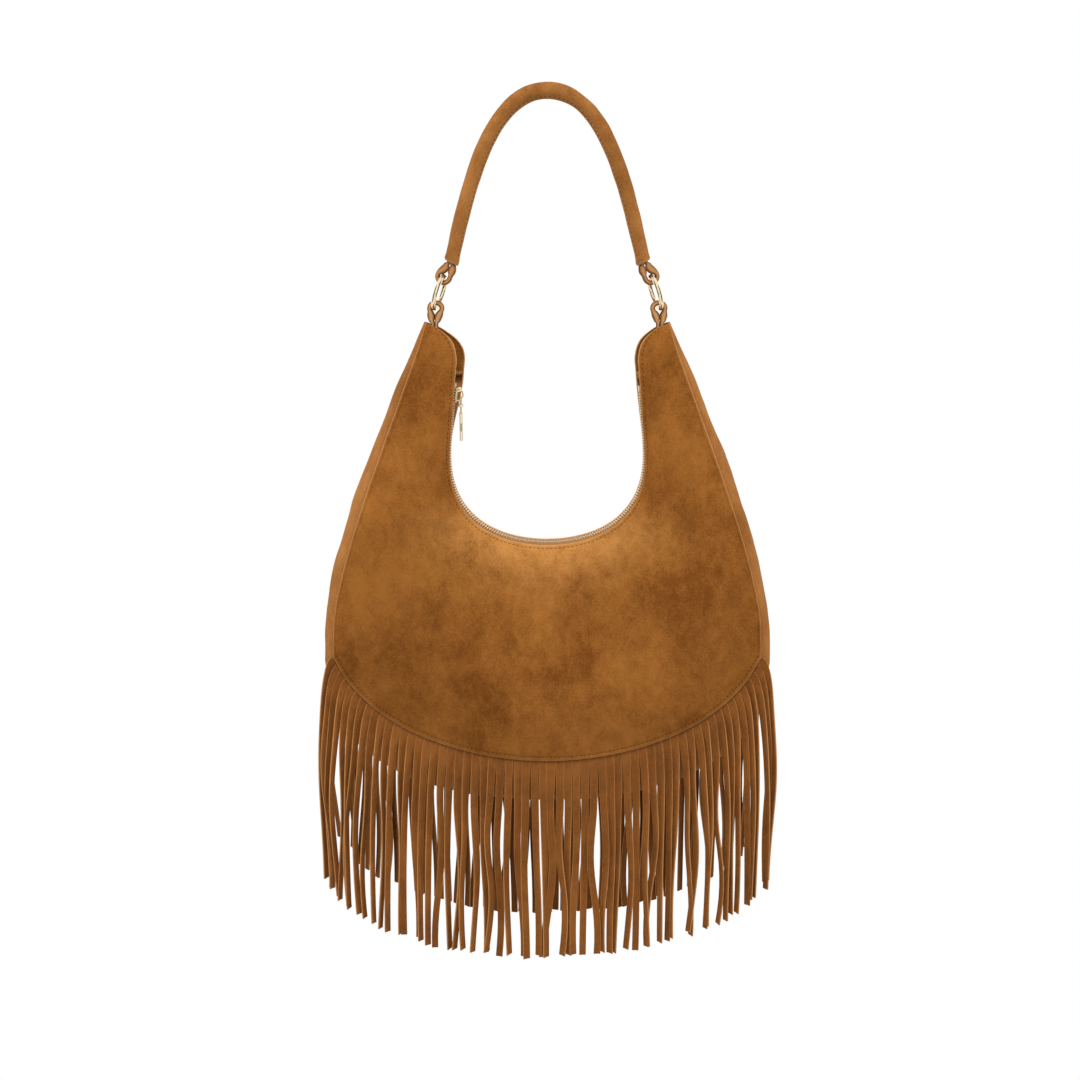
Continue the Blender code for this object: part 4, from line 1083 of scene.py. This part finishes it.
def make_handle():
    """The rolled handle: turned round its core and sewn shut along its inner side."""
    line = handle_line()
    runs = run_lengths(line)
    even = walk(line, np.linspace(0.0, runs[-1], 261))
    run = directions(even)
    inward = np.stack([run[:, 1], np.zeros(len(run)), -run[:, 0]], -1)
    across = np.array([0.0, 1.0, 0.0])
    spots = np.stack([even[:, 0], np.zeros(len(even)), even[:, 1]], -1)
    share = np.minimum(1.0, 2 * np.abs(even[:, 0]) / HANDLE_END[0])
    radius = HANDLE_CROWN_RADIUS + (HANDLE_RADIUS - HANDLE_CROWN_RADIUS) * share
    edge = np.minimum(np.arange(len(even)), np.arange(len(even))[::-1])
    to_end = edge * (runs[-1] / (len(even) - 1))
    radius *= 1.0 - HANDLE_TAPER * (1.0 - smoothstep(to_end / HANDLE_TAPER_LENGTH))
    angles = np.arange(HANDLE_SIDES) * 2 * math.pi / HANDLE_SIDES
    grid = np.array([
        [spot + reach * (inside * math.cos(a) + across * math.sin(a)) for a in angles]
        for spot, reach, inside in zip(spots, radius, inward)
    ])
    slant = math.tan(HANDLE_CUT) * radius[:, None] * (np.cos(angles) + HANDLE_CUT_SHIFT)[None, :]
    step = np.arange(len(even))
    near_start = np.clip(1.0 - step / HANDLE_CUT_ROWS, 0.0, 1.0)
    ends = near_start[::-1] - near_start
    along = np.stack([run[:, 0], np.zeros(len(run)), run[:, 1]], -1)
    grid += along[:, None, :] * (slant * ends[:, None])[..., None]
    soft = ripples(grid, 51, HANDLE_RIPPLES)
    off_seam = np.abs(np.where(angles > math.pi, angles - 2 * math.pi, angles))
    seam = 0.00045 * np.exp(-((off_seam - 0.42) / 0.20) ** 2) - 0.00060 * np.exp(-(off_seam / 0.10) ** 2)
    lip = 0.00035 * np.exp(-((edge - 2.0) / 1.6) ** 2) - 0.0004 * (edge == 0)
    out = inward[:, None, :] * np.cos(angles)[:, None] + across * np.sin(angles)[:, None]
    grid += out * (soft + seam + lip[:, None])[..., None]
    wall = grid - out * HANDLE_WALL
    rows, columns = grid.shape[:2]
    verts = np.concatenate([grid.reshape(-1, 3), wall[[0, 6, -7, -1]].reshape(-1, 3)])
    faces = grid_faces(rows, columns)
    base = rows * columns
    for outer_row, inner_row, deep_row in ((0, 0, 1), (rows - 1, 3, 2)):
        for c in range(columns):
            d = (c + 1) % columns
            a = outer_row * columns
            b = base + inner_row * columns
            e = base + deep_row * columns
            faces.append((a + c, a + d, b + d, b + c))
            faces.append((b + c, b + d, e + d, e + c))
        faces.append(tuple(e + c for c in range(columns)))
    # Paler at the cut ends and along the ridge beside the seam: wear and painted highlight
    rim = np.clip(1.0 - edge / 1.5, 0.0, 1.0)[:, None]
    ridge = 0.35 * np.exp(-((off_seam - 0.42) / 0.22) ** 2)
    wear = np.concatenate([np.maximum(rim, ridge).reshape(-1), np.zeros(4 * columns)])
    new_piece(
        "rolled_handle", verts, faces, HANDLE_SUEDE, "handle", "handle_cover", "suede_handle", wear=wear)
    lines = [(grid[5:-5, column], out[5:-5, column]) for column in (4, columns - 4)]
    verts, faces = stitch_mesh(lines, HANDLE_STITCH_RADIUS, STITCH_PITCH, HANDLE_STITCH_LENGTH)
    new_piece("handle_stitches", verts, faces, THREAD, "handle", slot_name="suede_handle")


def make_loop(name, wire, axis, tail_axis, tail, side, tail_width, neck_half, middle, crown, look, body, node,
              slot_name):
    """A strap folded round a ring, with soft rounded edges and its ends laid together."""
    above = 1.0 if axis[1] > 0 else -1.0
    middle_out, middle_down, middle_radius = middle
    centre = wire + xz(middle_out, -middle_down) * above
    across = xz(-axis[1], axis[0])
    tail_across = xz(-tail_axis[1], tail_axis[0])
    neck = wire + axis * LOOP_NECK
    end = neck + tail_axis * tail
    shoulder = neck + tail_axis * LOOP_SHOULDER
    thin, thick = STRAP_THICKNESS / 2, neck_half / 2
    right = [shoulder + tail_across * thin, neck + tail_across * thick]
    left = [neck - tail_across * thick, shoulder - tail_across * thin]
    arc = [
        centre + (across * math.cos(a) - axis * crown * math.sin(a)) * middle_radius
        for a in np.linspace(0, math.pi, 25)
    ]
    pull = (neck - centre) @ axis
    near_right = bezier((
        right[1], right[1] - tail_axis * pull * 0.40, arc[0] + axis * pull * 0.25, arc[0],
    ), np.linspace(0, 1, 12))
    near_left = bezier((
        arc[-1], arc[-1] + axis * pull * 0.25, left[0] - tail_axis * pull * 0.40, left[0],
    ), np.linspace(0, 1, 12))
    tail_right = np.concatenate([
        np.linspace(end + tail_across * thin, right[0], 4)[:-1], np.linspace(right[0], right[1], 4)[:-1],
    ])
    tail_left = np.concatenate([
        np.linspace(left[0], left[1], 4)[1:], np.linspace(left[1], end - tail_across * thin, 4)[1:],
    ])
    path = np.concatenate([tail_right, near_right, arc[1:-1], near_left, tail_left])
    run = directions(path)
    out = np.stack([run[:, 1], -run[:, 0]], -1)
    verts, wear = [], []
    turns = np.arange(LOOP_SIDES) * 2 * math.pi / LOOP_SIDES
    round_y = np.sign(np.cos(turns)) * np.abs(np.cos(turns)) ** 0.65
    round_n = np.sign(np.sin(turns)) * np.abs(np.sin(turns)) ** 1.1
    flare = xz(LOOP_FLARE, -0.3 * LOOP_FLARE) * above
    for r, spot in enumerate(path):
        reach = (spot - neck) @ tail_axis
        share = min(1.0, max(0.0, 1.0 + reach / (0.8 * LOOP_NECK)))
        width = STRAP_WIDTH / 2 * (1.0 + (tail_width / STRAP_WIDTH - 1.0) * share)
        half = LOOP_HALF_THICKNESS + (thick - LOOP_HALF_THICKNESS) * share
        half += LOOP_FAT * math.sin(math.pi * share)
        half += (thin - thick) * min(1.0, max(0.0, reach / LOOP_SHOULDER)) - LOOP_TRIM
        for y, n in zip(round_y, round_n):
            p = spot + out[r] * n * half + flare * (y * y * (1.0 - share))
            verts.append((side * p[0], y * width, p[1]))
            # Paler strap edges: wear and painted highlight
            wear.append(0.8 * max(0.0, abs(y) - 0.8) / 0.2)
    new_piece(
        name, verts, tube_faces(len(path), LOOP_SIDES), look, body, node, slot_name,
        wear=wear, dusk=np.full(len(verts), STRAP_DUSK))


def make_ring(name, side):
    """A polished round wire ring."""
    long_axis = Vector((side * LEAN_AXIS[0], 0, LEAN_AXIS[1]))
    plain_normal = Vector((side * math.cos(RING_LEAN), 0, math.sin(RING_LEAN)))
    limb = Vector((0, 1, 0)) * math.cos(RING_TURN) - plain_normal * math.sin(RING_TURN)
    normal = long_axis.cross(limb).normalized()
    centre = Vector((side * RING_CENTRE[0], 0, RING_CENTRE[1]))
    major, minor = 96, 20
    verts = []
    for i in range(major):
        a = 2 * math.pi * i / major
        radial = long_axis * math.cos(a) + limb * math.sin(a)
        for k in range(minor):
            b = 2 * math.pi * k / minor
            wire = radial * math.cos(b) + normal * math.sin(b)
            verts.append(centre + radial * RING_MEAN_RADIUS + wire * (RING_WIRE / 2))
    faces = grid_faces(major, minor, wrap_rows=True)
    label = "ring_left" if side < 0 else "ring_right"
    new_piece(name, verts, faces, PALE_GOLD, label, label, "pale_gold")


LEG_BASE = Vector((-LEG_TOP[0], 0, LEG_TOP[1]))
LEG_A = Vector((-LEG_DOWN[0], 0, LEG_DOWN[1]))
LEG_N = Vector((-LEG_OUT[0], 0, LEG_OUT[1]))
TOP_FACE = CHAIN_SINK - CHAIN_THICKNESS / 2 - GAP
UNDER_FACE = CHAIN_SINK + CHAIN_THICKNESS / 2 + GAP
SLIDER_MIDDLE = SLIDER_REST + SLIDER_LENGTH / 2
LINK_OUT = TOP_FACE - SLIDER_PLATE - BRIDGE_HEIGHT + BRIDGE_BAR + LINK_WIRE / 2 + GAP
LINK_TOP = LEG_BASE + LEG_A * (SLIDER_MIDDLE + 0.0012) + LEG_N * LINK_OUT
LINK_BOTTOM = LINK_TOP - Vector((0, 0, LINK_LENGTH - LINK_WIRE))


def on_leg(a, out, y):
    return LEG_BASE + LEG_A * a + LEG_N * out + Vector((0, y, 0))


def prism(outline, low, high, place, bevel):
    """Rounded plate: an outline between two levels, with its rims drawn in."""
    middle = np.mean(outline, axis=0)
    verts = []
    size = np.abs(np.array(outline) - middle).max()
    levels = (
        (low, 1 - bevel / size), (low + 0.3 * bevel, 1 - 0.3 * bevel / size), (low + bevel, 1.0),
        (high - bevel, 1.0), (high - 0.3 * bevel, 1 - 0.3 * bevel / size), (high, 1 - bevel / size),
    )
    for level, share in levels:
        for p in outline:
            q = middle + (np.array(p) - middle) * share
            verts.append(place(q[0], q[1], level))
    return verts, tube_faces(len(levels), len(outline))


def rounded(outline, radius, steps=4):
    """An outline whose corners are rounded."""
    points = [np.array(p, float) for p in outline]
    out = []
    for i, p in enumerate(points):
        before, after = points[i - 1], points[(i + 1) % len(points)]
        reach = min(radius, 0.45 * np.linalg.norm(before - p), 0.45 * np.linalg.norm(after - p))
        a = p + unit(before - p) * reach
        b = p + unit(after - p) * reach
        for k in range(steps + 1):
            t = k / steps
            out.append(a * (1 - t) ** 2 + p * 2 * t * (1 - t) + b * t * t)
    return out


def merge(parts):
    verts, faces = [], []
    for more_verts, more_faces in parts:
        base = len(verts)
        verts += [tuple(v) for v in more_verts]
        faces += [tuple(base + k for k in f) for f in more_faces]
    return verts, faces


def rod(path, radius, sides=12, closed=False, flatten=1.0, up=Vector((0, 1, 0))):
    """A round rod along points in space."""
    points = [Vector(p) for p in path]
    count = len(points)
    verts = []
    for i, p in enumerate(points):
        before = points[i - 1] if closed or i > 0 else p
        after = points[(i + 1) % count] if closed or i < count - 1 else p
        run = (after - before).normalized()
        side = run.cross(up)
        side = side.normalized() if side.length > 0.05 else Vector((1, 0, 0))
        top = side.cross(run).normalized()
        for k in range(sides):
            a = 2 * math.pi * k / sides
            verts.append(p + side * radius * math.cos(a) * flatten + top * radius * math.sin(a))
    return verts, grid_faces(count, sides, wrap_rows=True) if closed else tube_faces(count, sides)


def make_slider():
    """The slider: two shaped plates, their side lips, a round boss and the bridge."""
    a0, a1 = SLIDER_REST, SLIDER_REST + SLIDER_LENGTH
    half = SLIDER_WIDTH / 2
    nose, tail = 0.6 * half, 0.84 * half
    shoulder = a0 + 0.3 * SLIDER_LENGTH
    shield = rounded(
        [(a0, -nose), (shoulder, -half), (a1, -tail), (a1, tail), (shoulder, half), (a0, nose)], 0.0018)

    def place(p, q, level):
        return on_leg(p, level, q)

    top = prism(shield, TOP_FACE - SLIDER_PLATE, TOP_FACE, place, 0.00045)
    under = prism(shield, UNDER_FACE, UNDER_FACE + SLIDER_PLATE, place, 0.00045)
    parts = [top, under]
    lip_gap = 0.0006
    for face in (-1, 1):
        for base, toward in ((TOP_FACE - SLIDER_PLATE, 1), (UNDER_FACE + SLIDER_PLATE, -1)):
            path = [
                on_leg(a, base + toward * (SLIDER_PLATE * 0.75), face * y)
                for a, y in ((shoulder, half - lip_gap), (a1 - 0.0012, tail - lip_gap * 0.7))
            ]
            parts.append(rod(path, 0.00075))
    crest = TOP_FACE - SLIDER_PLATE - BRIDGE_HEIGHT
    b0, b1 = a0 + 0.10 * SLIDER_LENGTH, a1 - 0.12 * SLIDER_LENGTH
    arch = bezier((
        (b0, TOP_FACE - 0.5 * SLIDER_PLATE), (b0 - 0.0002, crest - 0.0010),
        (b1 + 0.0002, crest - 0.0010), (b1, TOP_FACE - 0.5 * SLIDER_PLATE),
    ), np.linspace(0.0, 1.0, 25))
    low = arch[:, 1].min()
    floor = TOP_FACE - 0.5 * SLIDER_PLATE
    arch[:, 1] = floor + (arch[:, 1] - floor) * (crest + BRIDGE_BAR / 2 - floor) / (low - floor)
    bridge = [on_leg(p, q, 0.0) for p, q in arch]
    parts.append(rod(bridge, BRIDGE_WIDTH / 2, 14, flatten=BRIDGE_BAR / BRIDGE_WIDTH))
    turns = np.linspace(0, 2 * math.pi, 24, endpoint=False)
    boss = [(math.cos(t) * 0.0021, math.sin(t) * 0.0021) for t in turns]

    def place_boss(p, q, level):
        return on_leg(b0 + 0.0003 + p, TOP_FACE - SLIDER_PLATE - 0.0011 + q, level)

    parts.append(prism(boss, -0.0019, 0.0019, place_boss, 0.0004))
    new_piece("slider_body", *merge(parts), PALE_GOLD, "zip_slider", "zip_slider", "pale_gold")


def make_link():
    """The bent wire frame between the bridge and the pull."""
    half = LINK_WIDTH / 2 - LINK_WIRE / 2
    low = -(LINK_LENGTH - LINK_WIRE)
    outline = rounded([(-half, 0.0), (half, 0.0), (half, low), (-half, low)], 0.0012, 5)
    path = [LINK_TOP + Vector((0, p[0], p[1])) for p in outline]
    verts, faces = rod(path, LINK_WIRE / 2, 12, closed=True, up=Vector((1, 0, 0)))
    new_piece("link_wire", verts, faces, PALE_GOLD, "pull_link", "pull_link", "pale_gold")


def make_pull():
    """The drop pull: an eye, a slim stem, a two-tier collar and a flat bar."""
    eye_bore = LINK_WIRE / 2 * math.sqrt(2) + GAP
    eye_radius = eye_bore + 0.0009
    width = 0.8 * (LINK_WIDTH - 2 * LINK_WIRE - 2 * GAP) / 2
    mid = (eye_bore + eye_radius) / 2
    parts = []
    ring = [(mid * math.cos(a), mid * math.sin(a)) for a in np.linspace(0, 2 * math.pi, 28, endpoint=False)]
    path = [LINK_BOTTOM + Vector((p, 0, q)) for p, q in ring]
    parts.append(rod(path, width, 14, closed=True, flatten=0.0009 / 2 / width))
    stem_low = -eye_radius - PULL_STEM
    stem = [LINK_BOTTOM + Vector((0, 0, z)) for z in np.linspace(-eye_radius + 0.0003, stem_low, 9)]
    parts.append(rod(stem, 0.00065, 12))

    def place(p, q, level):
        return LINK_BOTTOM + Vector((p, q, level))

    def bar_outline(grow):
        x, y = PULL_BAR_THICKNESS / 2 + grow, PULL_BAR_WIDTH / 2 + grow
        return rounded([(-x, -y), (x, -y), (x, y), (-x, y)], 0.0008, 4)

    collar_low = stem_low - PULL_COLLAR
    parts.append(prism(bar_outline(-0.0002), stem_low - 0.0006, stem_low, place, 0.0002))
    parts.append(prism(bar_outline(0.0004), collar_low, stem_low - 0.00045, place, 0.0002))
    foot = collar_low - PULL_BAR_LENGTH
    parts.append(prism(bar_outline(0.0), foot, collar_low + 0.0002, place, 0.0007))
    new_piece("pull_drop", *merge(parts), PALE_GOLD, "pull_bar", "pull_bar", "pale_gold")


front_grid = make_panel("front_suede", -1, "front_panel", 11)
back_grid = make_panel("back_suede", 1, "back_panel", 21)
make_panel_stitches("front_stitches", front_grid, -1)
make_panel_stitches("back_stitches", back_grid, 1)
make_gusset()
make_fringe("front_strips", -1, "front_fringe", 7, (10.0, 52.0))
make_fringe("back_strips", 1, "back_fringe", 8, (3.0, 26.0))
make_tape("front_tape", -1, "zip_tape_front")
make_tape("back_tape", 1, "zip_tape_back")
make_teeth("front_teeth", -1, "zip_teeth_front")
make_teeth("back_teeth", 1, "zip_teeth_back")
make_handle()
handle_down = xz(math.sin(HANDLE_END_LEAN), -math.cos(HANDLE_END_LEAN))
down = xz(0.0, -1.0)
for label, side in (("left", -1), ("right", 1)):
    make_ring("gold_ring_" + label, side)
    make_loop(
        "handle_strap_" + label, WIRE_TOP, -LOOP_AXIS, -handle_down, HANDLE_TAIL, side, HANDLE_TAIL_WIDTH,
        SOFT_HANDLE_NECK, HANDLE_MIDDLE, 1.0,
        HANDLE_SUEDE, "handle", "handle_loop_" + label, "suede_handle")
    make_loop(
        "tab_strap_" + label, WIRE_BOTTOM, down, down, TAB_TAIL, side, STRAP_WIDTH,
        SOFT_TAB_NECK, TAB_MIDDLE, TAB_CROWN,
        PANEL_SUEDE, "bag", "bag_tab_" + label, "suede_tan")
make_slider()
make_link()
make_pull()
for node in ("zip_top_stop_front", "zip_top_stop_back", "zip_end_stop"):
    stop = nodes[node]
    stop.data.materials.clear()
    stop.data.materials.append(ZIP_METAL)
    weld = stop.modifiers.new("weld", "WELD")
    weld.merge_threshold = 0.00001
    bevel = stop.modifiers.new("bevel", "BEVEL")
    bevel.width = 0.0005
    bevel.segments = 3
core = nodes["handle_core"]
core.data.materials.clear()
core.data.materials.append(TAPE)


def add_quad(name, corners):
    mesh = bpy.data.meshes.new(name)
    mesh.from_pydata(corners, [], [(0, 1, 2, 3)])
    return add_object(name, mesh)


def make_floor():
    """A pale floor well below the hanging bag, seamless with the background."""
    size = 6.0
    low = -1.55
    floor = add_quad(
        "studio_floor", [(-size, -size, low), (size, -size, low), (size, size, low), (-size, size, low)])
    made, tree, shader = new_material("pale_floor")
    fill(shader, {"Base Color": (0.82, 0.82, 0.82, 1.0), "Roughness": 0.9})
    blend_with_white(tree, shader.outputs["BSDF"], tree.nodes["Material Output"].inputs["Surface"])
    floor.data.materials.append(made)


def blend_with_white(tree, surface, target):
    """White to the camera and in reflections, the given surface or light to everything else."""
    paths = tree.nodes.new("ShaderNodeLightPath")
    seen = math_node(tree, "MAXIMUM", paths.outputs["Is Camera Ray"], paths.outputs["Is Glossy Ray"])
    seen = math_node(tree, "MAXIMUM", seen, paths.outputs["Is Transmission Ray"])
    kind = "Emission" if target.node.type == "OUTPUT_MATERIAL" else "Background"
    white = fill(tree.nodes.new("ShaderNode" + kind), {"Color": (1.0, 1.0, 1.0, 1.0), "Strength": 1.0})
    mix = fill(tree.nodes.new("ShaderNodeMixShader"), {0: seen, 1: surface, 2: white.outputs[0]})
    tree.links.new(mix.outputs[0], target)


def make_card(name, place, width, height):
    """A dark upright card beside the camera, which only the metal's reflections see."""
    x, z = width / 2, height / 2
    card = add_quad(name, [(-x, 0, -z), (x, 0, -z), (x, 0, z), (-x, 0, z)])
    card.location = place
    aim = Vector((0.0, 0.0, -0.2)) - Vector(place)
    card.rotation_euler = (0.0, 0.0, math.atan2(aim.y, aim.x) - math.pi / 2)
    made, _, shader = new_material(name)
    fill(shader, {"Base Color": (0.030, 0.014, 0.006, 1.0), "Roughness": 1.0})
    card.data.materials.append(made)
    card.visible_camera = False
    card.visible_diffuse = False
    card.visible_shadow = False
    card.visible_transmission = False


def light_scene():
    world = bpy.data.worlds.new("studio")
    bpy.context.scene.world = world
    world.use_nodes = True
    tree = world.node_tree
    sky = fill(tree.nodes["Background"], {"Color": (1.0, 1.0, 1.0, 1.0), "Strength": 0.36})
    blend_with_white(tree, sky.outputs[0], tree.nodes["World Output"].inputs["Surface"])
    for name, place, aim, size, power in (
        ("key", (-0.15, -1.25, 1.15), (0, 0, -0.38), 0.9, 27.0),
        ("left", (-1.75, -0.35, 0.1), (0, 0, -0.45), 1.0, 15.0),
        ("right", (1.75, -0.35, 0.1), (0, 0, -0.45), 1.0, 17.0),
        ("top", (0.0, 0.5, 1.6), (0, 0, -0.3), 1.0, 10.0),
    ):
        data = bpy.data.lights.new(name, "AREA")
        data.energy = power
        data.size = size
        lamp = add_object(name, data)
        lamp.location = place
        lamp.visible_glossy = False
        lamp.rotation_euler = (Vector(aim) - Vector(place)).to_track_quat("-Z", "Y").to_euler()


make_floor()
make_card("left_card", (-1.20, -0.50, -0.1), 1.15, 2.2)
make_card("right_card", (1.20, -0.50, -0.1), 1.15, 2.2)
make_card("low_card", (-0.15, -1.30, -0.45), 0.35, 0.35)
light_scene()
camera_data = bpy.data.cameras.new("photo_camera")
camera_data.lens = 41.88
camera_data.sensor_width = 36.0
camera = add_object("photo_camera", camera_data)
camera.location = (-0.006, -1.050, -0.1151)
camera.rotation_euler = (math.radians(76.9), 0.0, 0.0)
bpy.context.scene.camera = camera
bpy.context.scene.view_settings.view_transform = "Standard"
